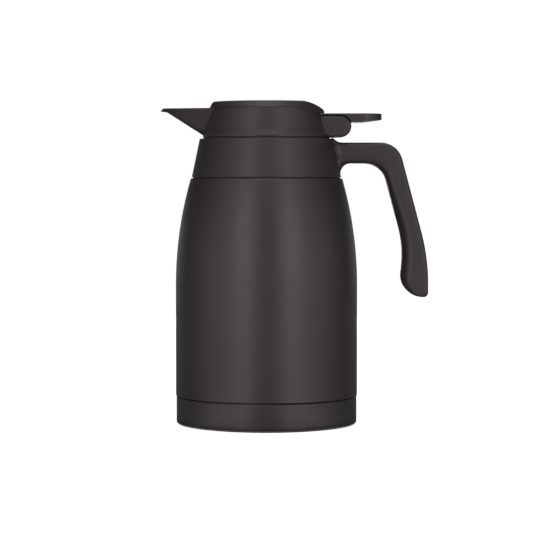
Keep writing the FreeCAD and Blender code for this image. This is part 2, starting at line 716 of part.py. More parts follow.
def handle_side_outline():
    """Corners of the handle seen from the side, from the collar round the grip and back."""
    inside = "place.collar_bore"
    return [
        Corner(inside, "place.collar_top + sizes.collar_rim * tan(sizes.handle_root_slope)"),
        Corner("place.collar_top_r + sizes.handle_drop / tan(sizes.handle_root_slope)", "place.handle_top",
               rounding="sizes.handle_root_round"),
        Corner("place.handle_top_end", "place.handle_top", rounding="sizes.handle_outer_corner"),
        Corner("place.handle_out", "place.handle_bend", rounding="place.handle_sweep"),
        Corner("place.handle_out", "sizes.handle_bottom", rounding="sizes.handle_tip"),
        Corner("place.handle_toe_x", "sizes.handle_bottom", rounding="sizes.handle_toe"),
        Corner("place.handle_waist_x", "place.handle_waist_z", rounding="place.handle_hollow"),
        Corner("place.handle_under_end", "place.handle_under", rounding="sizes.handle_inner_corner"),
        Corner("place.handle_root_x", "place.handle_under", rounding="place.handle_gusset"),
        Corner("place.handle_root_x", "place.collar_foot"),
        Corner(inside, "place.collar_foot"),
    ]


def handle_edge_radii(shape):
    """Gives each long edge of the handle its rounding: small on the back, large on the finger side.

    It grows from the arm to the grip round the inner corner, and falls to the small one along the toe.
    """
    back = number("sizes.handle_back_edge")
    arm = number("sizes.handle_arm_edge")
    grip = number("sizes.handle_grip_edge")
    half = number("place.handle_half")
    toe = number("sizes.handle_toe")
    bend = number("sizes.handle_inner_corner")
    foot = number("place.collar_foot")
    radii = []
    for index, edge in enumerate(shape.Edges, start=1):
        ends = [vertex.Point for vertex in edge.Vertexes]
        if any(abs(abs(point.y) - half) > 0.001 for point in ends) or abs(ends[0].y - ends[-1].y) > 0.001:
            continue
        middle = edge.valueAt((edge.FirstParameter + edge.LastParameter) / 2)
        faces = shape.ancestorsOfType(edge, Part.Face)
        normals = [face.normalAt(*face.Surface.parameter(middle)) for face in faces]
        rim = min(normals, key=lambda normal: abs(normal.y))
        if middle.x < number("place.collar_bore") + 0.001 or abs(middle.z - foot) < 0.001:
            continue
        turn = edge.Curve.Radius if isinstance(edge.Curve, Part.Circle) else 0
        lower_first = edge.valueAt(edge.FirstParameter).z < edge.valueAt(edge.LastParameter).z
        if abs(turn - toe) < 0.001:
            radii.append((index, grip, back) if lower_first else (index, back, grip))
        elif abs(turn - bend) < 0.001:
            radii.append((index, arm, grip) if lower_first else (index, grip, arm))
        elif rim.x > 0.001 and middle.x > number("place.handle_under_end"):
            radii.append((index, back, back))
        elif rim.z > 0.5 or middle.z < number("sizes.handle_bottom") + 0.001:
            radii.append((index, back, back))
        elif middle.x < number("place.handle_under_end"):
            radii.append((index, arm, arm))
        else:
            radii.append((index, grip, grip))
    return radii


def root_section(body, name, level, half, blend):
    """Level section of the handle's root: straight sides that turn into the collar's cone by an arc."""
    cone = f"(place.collar_foot_r - ({level} - place.collar_foot) * place.collar_slope)"
    across = f"sqrt(({cone} + {blend})^2 - ({half} + {blend})^2)"
    share = f"{cone} / ({cone} + {blend})"
    side = f"({half} + {blend}) * {share}"
    sketch = new_sketch(body, name, "XY_Plane", level)
    add_outline(sketch, [
        Corner("place.collar_bore", f"-{side}"),
        Corner(f"{across} * {share}", f"-{side}", arc=blend, bulges_left=True),
        Corner(across, f"-{half}"),
        Corner("place.handle_root_end", f"-{half}"),
        Corner("place.handle_root_end", half),
        Corner(across, half, arc=blend, bulges_left=True),
        Corner(f"{across} * {share}", side),
        Corner("place.collar_bore", side),
    ])
    return sketch


def add_root_flare():
    """Lofts the flared root of the handle through level sections, within the rounded bar of the arm."""
    body = new_body("handle_root_body")
    half = "place.handle_half"
    arm = "sizes.handle_arm_edge"
    back = "sizes.handle_back_edge"
    full = "sizes.handle_root_blend"
    fade = "sizes.handle_root_fade"
    return lofted(body, "handle_root_flare", [
        root_section(body, "root_under", "place.handle_under", f"({half} - {arm})", fade),
        root_section(body, "root_low", f"(place.handle_under + {arm} * (1 - sin(45)))",
                     f"({half} - {arm} * (1 - cos(45)))", f"(({full} + {fade}) / 2)"),
        root_section(body, "root_side_low", f"(place.handle_under + {arm})", half, full),
        root_section(body, "root_side_high", f"(place.handle_top - {back})", half, full),
        root_section(body, "root_top", "place.handle_top", f"({half} - {back})", fade),
    ], "PartDesign::AdditiveLoft")


def make_handle():
    """Moulded grip with rounded edges and a flared root, cut to seat on the collar's cone."""
    body = new_body("handle_body")
    side = new_sketch(body, "handle_side", "XZ_Plane")
    add_outline(side, handle_side_outline())
    extruded(body, "handle_block", side, "sizes.handle_width", symmetric=True)
    soft = doc.addObject("Part::Fillet", "handle_rounded")
    soft.Base = body
    soft.Edges = handle_edge_radii(body.Shape)
    cone = doc.addObject("Part::Cone", "handle_seat")
    cone.setExpression("Radius1", "place.collar_foot_r + sizes.fit_clearance + place.collar_slope * 10")
    cone.setExpression("Radius2", "place.collar_top_r + sizes.fit_clearance - place.collar_slope * 10")
    cone.setExpression("Height", "place.collar_top - place.collar_foot + 20")
    cone.setExpression("Placement.Base.z", "place.collar_foot - 10")
    tools = [cone]
    for name, sign in (("handle_bore_near", "-"), ("handle_bore_far", "")):
        tools.append(screw_shank(name, sign, "sizes.fit_clearance"))
    cutter = doc.addObject("Part::MultiFuse", "handle_cutter")
    cutter.Shapes = tools
    whole = doc.addObject("Part::Fuse", "handle_whole")
    whole.Base = soft
    whole.Tool = add_root_flare()
    handle = doc.addObject("Part::Cut", "handle_cut")
    handle.Base = whole
    handle.Tool = cutter
    keep("handle", handle)


def screw_shank(name, sign, clearance):
    """Shank of a handle screw, or the bore for it where a clearance is given."""
    shank = doc.addObject("Part::Cylinder", name)
    shank.Placement.Rotation = FreeCAD.Rotation(Vector(0, 1, 0), 90)
    shank.setExpression("Radius", f"sizes.handle_screw_diameter / 2 + {clearance}")
    shank.setExpression("Height", f"sizes.handle_screw_length + {clearance}")
    shank.setExpression("Placement.Base.x", "place.handle_screw_seat")
    shank.setExpression("Placement.Base.y", f"{sign}place.handle_screw_y")
    shank.setExpression("Placement.Base.z", "place.handle_screw_z")
    return shank


def make_handle_screws():
    """Two screws from inside the collar into the root of the handle."""
    screws = []
    for side, sign in (("near", "-"), ("far", "")):
        head = doc.addObject("Part::Cylinder", f"handle_screw_head_{side}")
        head.Placement.Rotation = FreeCAD.Rotation(Vector(0, 1, 0), 90)
        head.setExpression("Radius", "sizes.handle_screw_head / 2")
        head.setExpression("Height", "sizes.screw_head_height")
        head.setExpression("Placement.Base.x", "place.handle_screw_seat - sizes.screw_head_height")
        head.setExpression("Placement.Base.y", f"{sign}place.handle_screw_y")
        head.setExpression("Placement.Base.z", "place.handle_screw_z")
        screw = doc.addObject("Part::Fuse", f"handle_screw_{side}")
        screw.Base = head
        screw.Tool = screw_shank(f"handle_screw_shank_{side}", sign, "0")
        screws.append(screw)
    pair = doc.addObject("Part::Compound", "handle_screw_pair")
    pair.Links = screws
    keep("handle_screws", pair)


def make_stopper_gasket():
    """Silicone ring with two lips in the groove at the foot of the plug."""
    body = new_body("stopper_gasket_body")
    valley = "place.gasket_r - sizes.gasket_lip"
    turned(body, "stopper_gasket_ring", [
        Corner("place.gasket_in_r", "place.gasket_foot"),
        Corner(valley, "place.gasket_foot"),
        Corner("place.gasket_r", "place.gasket_foot + sizes.gasket_height / 4",
               rounding="sizes.gasket_lip / 4"),
        Corner(valley, "place.gasket_foot + sizes.gasket_height / 2"),
        Corner("place.gasket_r", "place.gasket_foot + sizes.gasket_height * 3 / 4",
               rounding="sizes.gasket_lip / 4"),
        Corner(valley, "place.gasket_foot + sizes.gasket_height"),
        Corner("place.gasket_in_r", "place.gasket_foot + sizes.gasket_height"),
    ])
    keep("stopper_gasket", body)


def make_stopper_plug():
    """Hollow plug with a solid grooved foot and a pour duct through it."""
    body = new_body("stopper_plug_body")
    groove_foot = "place.gasket_foot - sizes.running_clearance"
    groove_top = "place.groove_top"
    turned(body, "stopper_plug_cup", [
        Corner("0", "place.plug_foot"),
        Corner("place.plug_r", "place.plug_foot", rounding="sizes.gasket_inset / 2"),
        Corner("place.plug_r", groove_foot),
        Corner("place.groove_r", groove_foot),
        Corner("place.groove_r", groove_top),
        Corner("place.plug_r", groove_top),
        Corner("place.plug_r", "place.head_floor_under"),
        Corner("place.plug_in_r", "place.head_floor_under"),
        Corner("place.plug_in_r", "place.plug_floor"),
        Corner("0", "place.plug_floor"),
    ])
    duct = new_sketch(body, "stopper_duct_outline", "XY_Plane", "place.plug_foot")
    add_circle(duct, "place.port_x", "0", "place.duct_out_r")
    extruded(body, "stopper_duct", duct, "place.head_floor_under - place.plug_foot")
    drilled(body, "stopper_duct_bore", "place.plug_foot", [("place.port_x", "0", "place.duct_r")], "")
    keep("stopper_plug", body)


def make_plug_insulation():
    """Foam ring that fills the plug round its duct."""
    body = new_body("plug_insulation_body")
    turned(body, "plug_insulation_block", [
        Corner("0", "place.plug_floor"),
        Corner("place.plug_in_r - sizes.fit_clearance", "place.plug_floor"),
        Corner("place.plug_in_r - sizes.fit_clearance", "place.head_floor_under - sizes.fit_clearance"),
        Corner("0", "place.head_floor_under - sizes.fit_clearance"),
    ])
    hole = ("place.port_x", "0", "place.duct_out_r + sizes.fit_clearance")
    drilled(body, "plug_insulation_hole", "place.plug_floor", [hole], "")
    keep("plug_insulation", body)


def make_duct_seal():
    """Silicone ring between the top of the duct and the head."""
    body = new_body("duct_seal_body")
    turned(body, "duct_seal_ring", [
        Corner("place.duct_r", "place.head_floor_under"),
        Corner("place.duct_out_r", "place.head_floor_under"),
        Corner("place.duct_out_r", "place.head_floor_under + sizes.duct_seal_height"),
        Corner("place.duct_r", "place.head_floor_under + sizes.duct_seal_height"),
    ])
    body.setExpression("Placement.Base.x", "place.port_x")
    keep("duct_seal", body)


def spout_section(body, name, station, half_width, top, bottom, corner):
    """One cross-section of the spout: a flat top and a narrow rounded bottom."""
    sketch = new_sketch(body, name, "YZ_Plane", station)
    floor = f"({half_width}) * 0.42"
    add_outline(sketch, [
        Corner(f"-({half_width})", top),
        Corner(f"-{floor}", bottom, rounding=corner),
        Corner(floor, bottom, rounding=corner),
        Corner(half_width, top),
    ])
    return sketch


def lofted(body, name, sections, kind):
    """Joins cross-sections by straight walls."""
    feature = body.newObject(kind, name)
    feature.Profile = sections[0]
    feature.Sections = sections[1:]
    feature.Ruled = True
    doc.recompute()
    return feature


def add_spout(body):
    """Adds the solid spout in front of the head, before the head is hollowed."""
    root = "sizes.spout_root_width / 2"
    top = "place.head_top"
    bottom = "place.spout_bottom"
    keel = "sizes.spout_keel_round"
    lofted(body, "spout_outside", [
        spout_section(body, "spout_inner_end", "place.spout_inside",
                      f"{root} + (place.spout_inside - place.spout_root) * place.spout_spread", top, bottom, keel),
        spout_section(body, "spout_root_end", "place.spout_root", root, top, bottom, keel),
        spout_section(body, "spout_lip_start", "place.spout_lip_x", "sizes.spout_lip_width / 2", top,
                      "place.spout_lip_bottom", "sizes.spout_lip_depth / 2"),
        spout_section(body, "spout_tip_end", "place.spout_tip", "sizes.spout_tip_width / 2",
                      "place.spout_tip_top", "place.spout_tip_bottom", "sizes.spout_tip_depth / 2"),
    ], "PartDesign::AdditiveLoft")


def cut_trough(body):
    """Cuts the open trough of the spout, which runs out at the tip."""
    above = f"place.head_top + {SPARE / 4}"
    root = "sizes.spout_root_width / 2 - sizes.spout_wall"
    lip = "sizes.spout_lip_width / 2 - sizes.spout_lip_wall"
    tip = "sizes.spout_tip_width / 2 - sizes.spout_lip_wall"
    floor = "place.spout_bottom + sizes.spout_wall"
    lofted(body, "spout_trough", [
        spout_section(body, "trough_inner_end", "place.spout_inside + 4", root, above, floor, "sizes.spout_root_width / 8"),
        spout_section(body, "trough_root_end", "place.spout_root", root, above, floor, "sizes.spout_root_width / 8"),
        spout_section(body, "trough_lip_start", "place.spout_lip_x", lip, above,
                      "place.spout_lip_bottom + sizes.spout_lip_wall", "sizes.spout_lip_depth / 3"),
        spout_section(body, "trough_tip_end", "place.spout_tip - 1", tip, above,
                      "place.spout_tip_top - sizes.spout_tip_drop", "sizes.spout_tip_depth / 4"),
    ], "PartDesign::SubtractiveLoft")
    side_cut(body, "spout_tip_face", [
        Corner("place.spout_tip - sizes.spout_tip_slant", "place.spout_tip_bottom"),
        Corner("place.spout_tip", "place.spout_tip_bottom"),
        Corner("place.spout_tip + sizes.spout_tip_slant", "place.head_top"),
        Corner("place.spout_tip + sizes.spout_tip_slant", above),
        Corner("place.spout_tip - sizes.spout_tip_slant", above),
    ])


def add_ears(body):
    """Starts the head with the block of the hinge ears, whose edges are rounded outside."""
    inside = "place.flange_in_r + sizes.fit_clearance"
    side = new_sketch(body, "ear_outline", "XZ_Plane")
    add_outline(side, [
        Corner(inside, "place.ear_bottom"),
        Corner("place.pin_x", "place.ear_bottom", arc="place.ear_radius * 1.0001"),
        Corner("place.pin_x", "place.ear_top"),
        Corner(inside, "place.ear_top"),
    ])
    block = extruded(body, "head_ears", side, "2 * place.ear_half", symmetric=True)
    inner = number(inside)
    rims = [
        f"Edge{index}" for index, edge in enumerate(block.Shape.Edges, start=1)
        if abs(edge.Vertexes[0].Y - edge.Vertexes[-1].Y) < 0.001
        and max(vertex.X for vertex in edge.Vertexes) > inner + 0.001
    ]
    rounded(body, "ear_edges", block, rims, "sizes.ear_edge")


def make_pour_head():
    """Moulded head: beaded ring, floor with its port and seat, spout, and two hinge ears."""
    body = new_body("pour_head_body")
    add_ears(body)
    turned(body, "head_ring", [
        Corner("0", "place.head_floor_under"),
        Corner("place.flange_in_r", "place.head_floor_under"),
        Corner("place.flange_in_r", "place.head_bottom"),
        Corner("place.flange_r", "place.head_bottom"),
        Corner("place.flange_r", "place.bead_bottom"),
        Corner("place.bead_r", "place.bead_bottom", rounding="sizes.bead_round"),
        Corner("place.bead_r", "place.bead_top", rounding="sizes.bead_round"),
        Corner("place.head_foot_r", "place.head_foot", rounding="sizes.bead_hollow"),
        Corner("place.head_top_r", "place.head_top"),
        Corner("0", "place.head_top"),
    ])
    add_spout(body)
    turned(body, "head_hollow", [
        Corner("0", "place.head_floor_top"),
        Corner("place.head_in_foot_r", "place.head_floor_top", rounding="sizes.head_wall"),
        Corner("place.head_in_top_r", "place.head_top"),
        Corner("place.head_in_top_r", f"place.head_top + {SPARE}"),
        Corner("0", f"place.head_top + {SPARE}"),
    ], "PartDesign::Groove")
    cut_trough(body)
    slot_start = "place.pin_x - place.lug_radius - 4 * sizes.running_clearance"
    slot_floor = "place.ear_bottom + sizes.ear_floor"
    side_cut(body, "hinge_slot", [
        Corner(slot_start, slot_floor),
        Corner(f"place.pin_x + {SPARE}", slot_floor),
        Corner(f"place.pin_x + {SPARE}", f"place.ear_top + {SPARE}"),
        Corner(slot_start, f"place.ear_top + {SPARE}"),
    ], "sizes.ear_gap")
    side_cut(body, "lever_notch", [
        Corner("place.head_in_top_r / 2", "place.ear_top"),
        Corner(f"place.pin_x + {SPARE}", "place.ear_top"),
        Corner(f"place.pin_x + {SPARE}", f"place.head_top + {SPARE}"),
        Corner("place.head_in_top_r / 2", f"place.head_top + {SPARE}"),
    ], "2 * (place.ear_half + sizes.running_clearance)")
    side_cut(body, "rim_dip", [
        *parting_line("place.dip_lead", f"place.lid_rear_x + {SPARE}", "sizes.running_clearance"),
        Corner(f"place.lid_rear_x + {SPARE}", f"place.head_top + {SPARE}"),
        Corner("place.dip_lead", f"place.head_top + {SPARE}"),
    ])
    seat = new_sketch(body, "seat_outline", "XY_Plane", "place.head_floor_top")
    add_circle(seat, "place.port_x", "0", "place.seat_r")
    extruded(body, "port_seat", seat, "sizes.seat_height")
    drilled(body, "pour_port", "place.head_bottom", [("place.port_x", "0", "place.duct_r")], "")
    recess = ("place.port_x", "0", "place.duct_out_r + sizes.fit_clearance")
    drilled(body, "duct_seal_recess", "place.head_bottom", [recess], "sizes.head_flange + sizes.duct_seal_height")
    bore = new_sketch(body, "pin_bore_outline", "XZ_Plane", "place.pin_end + sizes.fit_clearance")
    add_circle(bore, "place.pin_x", "place.pin_z", "place.pin_r + sizes.fit_clearance / 2")
    extruded(body, "pin_bore", bore, "", kind="PartDesign::Pocket")
    keep("pour_head", body)


def make_hinge_pin():
    """Steel pin through both ears, blind on the near side."""
    pin = doc.addObject("Part::Cylinder", "hinge_pin_rod")
    pin.Placement.Rotation = FreeCAD.Rotation(Vector(1, 0, 0), -90)
    pin.setExpression("Radius", "place.pin_r")
    pin.setExpression("Height", "place.pin_end + place.ear_half - sizes.fit_clearance")
    pin.setExpression("Placement.Base.x", "place.pin_x")
    pin.setExpression("Placement.Base.y", "-place.pin_end")
    pin.setExpression("Placement.Base.z", "place.pin_z")
    keep("hinge_pin", pin)


def tangent_arc(start, heading, end):
    """Gives the arc that leaves start along heading and passes end."""
    chord = end - start
    inward = (chord - heading * chord.dot(heading)).normalize()
    radius = chord.dot(chord) / (2 * chord.dot(inward))
    centre = start + inward * radius
    middle = ((start - centre) + (end - centre)).normalize()
    return Part.Arc(start, centre + middle * radius, end)


def biarc(start, start_heading, end, end_heading):
    """Gives the two arcs that join two points with given headings."""
    chord = end - start
    both = start_heading + end_heading
    spread = 2 * (1 - start_heading.dot(end_heading))
    along = chord.dot(both)
    reach = (-along + math.sqrt(along**2 + spread * chord.dot(chord))) / spread
    joint = (start + end + (start_heading - end_heading) * reach) * 0.5
    back = tangent_arc(end, end_heading * -1, joint)
    return [tangent_arc(start, start_heading, joint), Part.Arc(joint, back.value(0.5 * (
        back.FirstParameter + back.LastParameter)), end)]


def make_return_spring():
    """Torsion spring round the pin: one leg on the slot's floor, the coil, one leg under the lever."""
    radius = number("sizes.spring_diameter") / 2
    pitch = number("sizes.spring_pitch")
    wire = number("sizes.spring_wire")
    quarters = round(number("place.spring_quarters"))
    first_angle = math.radians(225)
    rise = pitch / 4

    def coil_point(step):
        angle = first_angle - step * math.pi / 2
        across = (step - quarters / 2) * rise
        return Vector(number("place.pin_x") + radius * math.cos(angle), across,
                      number("place.pin_z") + radius * math.sin(angle))

    def coil_heading(step):
        angle = first_angle - step * math.pi / 2
        quarter = radius * math.pi / 2
        return Vector(quarter * math.sin(angle), rise, -quarter * math.cos(angle)).normalize()

    start = coil_point(0) - coil_heading(0) * number("place.spring_leg_down")
    finish = coil_point(quarters) + coil_heading(quarters) * number("place.spring_leg_up")
    curves = [Part.LineSegment(start, coil_point(0))]
    for step in range(quarters):
        curves += biarc(coil_point(step), coil_heading(step), coil_point(step + 1), coil_heading(step + 1))
    curves.append(Part.LineSegment(coil_point(quarters), finish))
    path = Part.Wire([curve.toShape() for curve in curves])
    section = Part.Wire(Part.Circle(start, coil_heading(0), wire / 2).toShape())
    shell = Part.BRepOffsetAPI.MakePipeShell(path)
    shell.add(section)
    shell.build()
    shell.makeSolid()
    spring = doc.addObject("Part::Feature", "return_spring_coil")
    spring.Shape = shell.shape()
    points = path.discretize(Distance=wire / 4)
    near = [
        first.distanceToPoint(second)
        for index, first in enumerate(points)
        for second in points[index + 12:]
    ]
    print(f"return_spring: least gap to itself {min(near) - wire:.2f} mm")
    keep("return_spring", spring)


def parting_line(start, end, drop="0"):
    """Corners of the swept line under the cover, from front to rear, lowered by a drop for the rim below it."""
    return [
        Corner(start, f"place.lid_foot - {drop}"),
        Corner("place.dip_start", f"place.lid_foot - {drop}", rounding="sizes.dip_round"),
        Corner("place.dip_end", f"place.lever_under - {drop}", rounding="sizes.dip_round"),
        Corner(end, f"place.lever_under - {drop}"),
    ]


def lid_screw_places():
    """Places of the three lid screws, as pairs of expressions."""
    ring = "place.lid_screw_ring"
    middle = "-sizes.lid_hollow_shift"
    return [
        (f"{middle} - {ring}", "0"),
        (f"{middle} + {ring} * cos(60)", f"{ring} * sin(60)"),
        (f"{middle} + {ring} * cos(60)", f"-{ring} * sin(60)"),
    ]


def make_lid_cover():
    """Moulded top of the lid, bent down at the rear, hollow below with three screw bosses."""
    body = new_body("lid_cover_body")
    cap = turned(body, "lid_cap", [
        Corner("0", "place.lever_under"),
        Corner("place.lid_skirt_r", "place.lever_under"),
        Corner("place.head_top_r", "place.lid_foot"),
        Corner("place.lid_top_r", "place.lid_rim_top", arc="place.lid_crown_arc"),
        Corner("0", "place.lid_top"),
    ])
    edge = ring_edges(cap.Shape, "place.lid_top_r", "place.lid_rim_top")
    rounded(body, "lid_cap_edge", cap, edge, "sizes.lid_edge")
    far = f"place.lid_rear_x + {SPARE}"
    high = f"place.lid_top + {SPARE}"
    side_cut(body, "lid_rear_bend", [
        Corner("place.lid_rear_start", "place.lid_top", arc="sizes.lid_rear_radius", bulges_left=True),
        Corner("place.lid_rear_end", "place.lever_under"),
        Corner(far, "place.lever_under"),
        Corner(far, high),
        Corner("place.lid_rear_start", high),
    ])
    low = f"place.lever_under - {SPARE}"
    side_cut(body, "lid_parting", [
        *parting_line("-place.lid_rear_x", far),
        Corner(far, low),
        Corner("-place.lid_rear_x", low),
    ])
    side_cut(body, "lid_lever_notch", [
        Corner("place.dip_start", low),
        Corner(far, low),
        Corner(far, "place.lever_top"),
        Corner("place.dip_start", "place.lever_top"),
    ], "2 * (place.ear_half + sizes.running_clearance)")
    hollow = ("-sizes.lid_hollow_shift", "0", "place.lid_hollow_r")
    drilled(body, "lid_hollow", "place.lever_top", [hollow], "place.lid_roof_under - place.lever_top")
    bosses = new_sketch(body, "lid_boss_outline", "XY_Plane", "place.dish_top")
    for across, up in lid_screw_places():
        add_circle(bosses, across, up, "place.lid_boss_r")
    extruded(body, "lid_bosses", bosses, "place.lid_roof_under - place.dish_top")
    holes = [(across, up, "sizes.lid_screw_diameter / 2 + sizes.fit_clearance / 2")
             for across, up in lid_screw_places()]
    drilled(body, "lid_pilot_holes", "place.dish_top", holes,
            "sizes.lid_screw_length - sizes.dish_floor + sizes.fit_clearance")
    keep("lid_cover", body)


def make_lever_frame():
    """Dish under the cover, with the thumb lever behind it and two lugs on the hinge pin."""
    body = new_body("lever_frame_body")
    turned(body, "lid_dish", [
        Corner("0", "place.lever_under"),
        Corner("place.dish_r", "place.lever_under", rounding="sizes.dish_floor / 2"),
        Corner("place.dish_r", "place.lid_foot"),
        Corner("place.dish_r - sizes.dish_rim", "place.lid_foot"),
        Corner("place.dish_r - sizes.dish_rim", "place.dish_top"),
        Corner("0", "place.dish_top"),
    ])
    side_cut(body, "dish_parting", [
        *parting_line("place.dip_lead", f"place.lid_rear_x + {SPARE}"),
        Corner(f"place.lid_rear_x + {SPARE}", f"place.lid_foot + {SPARE}"),
        Corner("place.dip_lead", f"place.lid_foot + {SPARE}"),
    ])
    side = new_sketch(body, "lever_side", "XZ_Plane")
    inside = "place.dish_r - 2 * sizes.dish_rim"
    add_outline(side, [
        Corner(inside, "place.lever_under"),
        Corner("place.pin_x", "place.lever_under", arc="place.lever_arc", bulges_left=True),
        Corner("place.paddle_root", "place.paddle_under"),
        Corner("place.paddle_flat_end", "place.paddle_under"),
        Corner("place.lever_tip", "place.paddle_tip_under"),
        Corner("place.lever_tip", "place.lever_top"),
        Corner(inside, "place.lever_top"),
    ])
    lever = extruded(body, "thumb_lever", side, "2 * place.ear_half", symmetric=True)
    tip = number("place.lever_tip")
    corners = [
        f"Edge{index}" for index, edge in enumerate(lever.Shape.Edges, start=1)
        if all(abs(vertex.X - tip) < 0.001 for vertex in edge.Vertexes)
        and abs(edge.Vertexes[0].Y - edge.Vertexes[-1].Y) < 0.001
    ]
    tip_round = rounded(body, "lever_tip_corners", lever, corners, "sizes.lever_tip_round")
    top = number("place.lever_top")
    rear = number("place.lid_rear_x")
    rim = [
        f"Edge{index}" for index, edge in enumerate(tip_round.Shape.Edges, start=1)
        if all(abs(vertex.Z - top) < 0.001 for vertex in edge.Vertexes)
        and max(vertex.X for vertex in edge.Vertexes) > rear
    ]
    rounded(body, "lever_edge", tip_round, rim, "sizes.lever_edge")
    lugs = new_sketch(body, "lug_outline", "XZ_Plane")
    add_outline(lugs, [
        Corner("place.pin_x - place.lug_radius", "place.pin_z", arc="place.lug_radius * 1.0001"),
        Corner("place.pin_x + place.lug_radius", "place.pin_z"),
        Corner("place.pin_x + place.lug_radius", "place.lever_top - sizes.lever_edge / 2"),
        Corner("place.pin_x - place.lug_radius", "place.lever_top - sizes.lever_edge / 2"),
    ])
    extruded(body, "hinge_lugs", lugs, "2 * place.lug_half", symmetric=True)
    side_cut(body, "spring_room", [
        Corner("place.pin_x - 2 * place.lug_radius", "place.pin_z - 2 * place.lug_radius"),
        Corner("place.pin_x", "place.pin_z - 2 * place.lug_radius"),
        Corner("place.paddle_root", "place.paddle_under"),
        Corner("place.pin_x + place.lug_radius", "place.lever_under"),
        Corner("place.pin_x - 2 * place.lug_radius", "place.lever_under"),
    ], "2 * place.lug_in_half")
    hole = new_sketch(body, "lug_hole_outline", "XZ_Plane")
    add_circle(hole, "place.pin_x", "place.pin_z", "place.pin_r + sizes.fit_clearance")
    extruded(body, "lug_holes", hole, "2 * sizes.ear_gap", kind="PartDesign::Pocket", symmetric=True)
    holes = [(across, up, "sizes.lid_screw_diameter / 2 + sizes.fit_clearance") for across, up in lid_screw_places()]
    drilled(body, "dish_screw_holes", "place.lever_under", holes, "sizes.dish_floor")
    keep("lever_frame", body)


def make_seal_holder():
    """Post under the dish with a plate and a stud that carry the lid seal."""
    body = new_body("seal_holder_body")
    turned(body, "seal_holder_post", [
        Corner("0", "place.seal_bottom + sizes.seal_height / 2"),
        Corner("sizes.seal_stud_diameter / 2", "place.seal_bottom + sizes.seal_height / 2"),
        Corner("sizes.seal_stud_diameter / 2", "place.seal_top"),
        Corner("place.seal_r - sizes.seat_width / 2", "place.seal_top"),
        Corner("place.seal_r - sizes.seat_width / 2", "place.seal_plate_top",
               rounding="sizes.seal_plate / 2"),
        Corner("sizes.seal_post_diameter / 2", "place.seal_plate_top", rounding="sizes.seal_plate / 2"),
        Corner("sizes.seal_post_diameter / 2", "place.lever_under"),
        Corner("0", "place.lever_under"),
    ])
    body.setExpression("Placement.Base.x", "place.port_x")
    keep("seal_holder", body)


def make_lid_seal():
    """Silicone disc on the holder, which closes the pour port."""
    body = new_body("lid_seal_body")
    stud = "sizes.seal_stud_diameter / 2 + sizes.fit_clearance"
    turned(body, "lid_seal_disc", [
        Corner("0", "place.seal_bottom"),
        Corner("place.seal_r", "place.seal_bottom", rounding="sizes.seal_height / 4"),
        Corner("place.seal_r", "place.seal_top", rounding="sizes.seal_height / 4"),
        Corner(stud, "place.seal_top"),
        Corner(stud, "place.seal_bottom + sizes.seal_height / 2 - sizes.fit_clearance"),
        Corner("0", "place.seal_bottom + sizes.seal_height / 2 - sizes.fit_clearance"),
    ])
    body.setExpression("Placement.Base.x", "place.port_x")
    keep("lid_seal", body)


def make_lid_screws():
    """Three screws from below the dish into the bosses of the cover."""
    screws = []
    for index, (across, up) in enumerate(lid_screw_places(), start=1):
        rods = []
        for part, radius, start, length in (
            ("head", "sizes.lid_screw_head / 2", "place.lever_under - sizes.screw_head_height",
             "sizes.screw_head_height"),
            ("shank", "sizes.lid_screw_diameter / 2", "place.lever_under", "sizes.lid_screw_length"),
        ):
            rod = doc.addObject("Part::Cylinder", f"lid_screw_{part}_{index}")
            rod.setExpression("Radius", radius)
            rod.setExpression("Height", length)
            rod.setExpression("Placement.Base.x", across)
            rod.setExpression("Placement.Base.y", up)
            rod.setExpression("Placement.Base.z", start)
            rods.append(rod)
        screw = doc.addObject("Part::Fuse", f"lid_screw_{index}")
        screw.Base, screw.Tool = rods
        screws.append(screw)
    trio = doc.addObject("Part::Compound", "lid_screw_trio")
    trio.Links = screws
    keep("lid_screws", trio)


def write_pieces():
    """Checks every object and every finished shape, then writes one file per piece."""
    doc.recompute()
    failed = [item.Name for item in doc.Objects if "Invalid" in item.State or "Error" in item.State]
    if failed:
        raise RuntimeError(f"objects that failed: {', '.join(failed)}")
    for piece in pieces:
        if piece.Shape.isNull() or not piece.Shape.isValid() or not piece.Shape.Solids:
            raise RuntimeError(f"{piece.Label} has no valid solid")
    os.makedirs("parts", exist_ok=True)
    for piece in pieces:
        piece.Shape.exportStep(f"parts/{piece.Label}.step")
        print(f"{piece.Label}: {len(piece.Shape.Solids)} solid, {piece.Shape.Volume / 1000:.2f} cm3")


make_outer_shell()
make_shell_bottom()
make_inner_bottle()
make_getter()
make_base_cup()
make_foot_ring()
make_shoulder_collar()
make_mouth_seal()
make_handle()
make_handle_screws()
make_stopper_gasket()
make_stopper_plug()
make_plug_insulation()
make_duct_seal()
make_pour_head()
make_hinge_pin()
make_return_spring()
make_lid_cover()
make_lever_frame()
make_seal_holder()
make_lid_seal()
make_lid_screws()
write_pieces()
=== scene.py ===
"""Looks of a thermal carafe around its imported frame: finishes, small fittings, stage, light and camera.

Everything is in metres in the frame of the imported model: +Z up, the spout towards -X, the handle towards +X.
"""

import json
import logging
import math
from dataclasses import dataclass, field, replace
from enum import Enum
from typing import Callable, Sequence

import bmesh
import bpy
from mathutils import Matrix, Vector

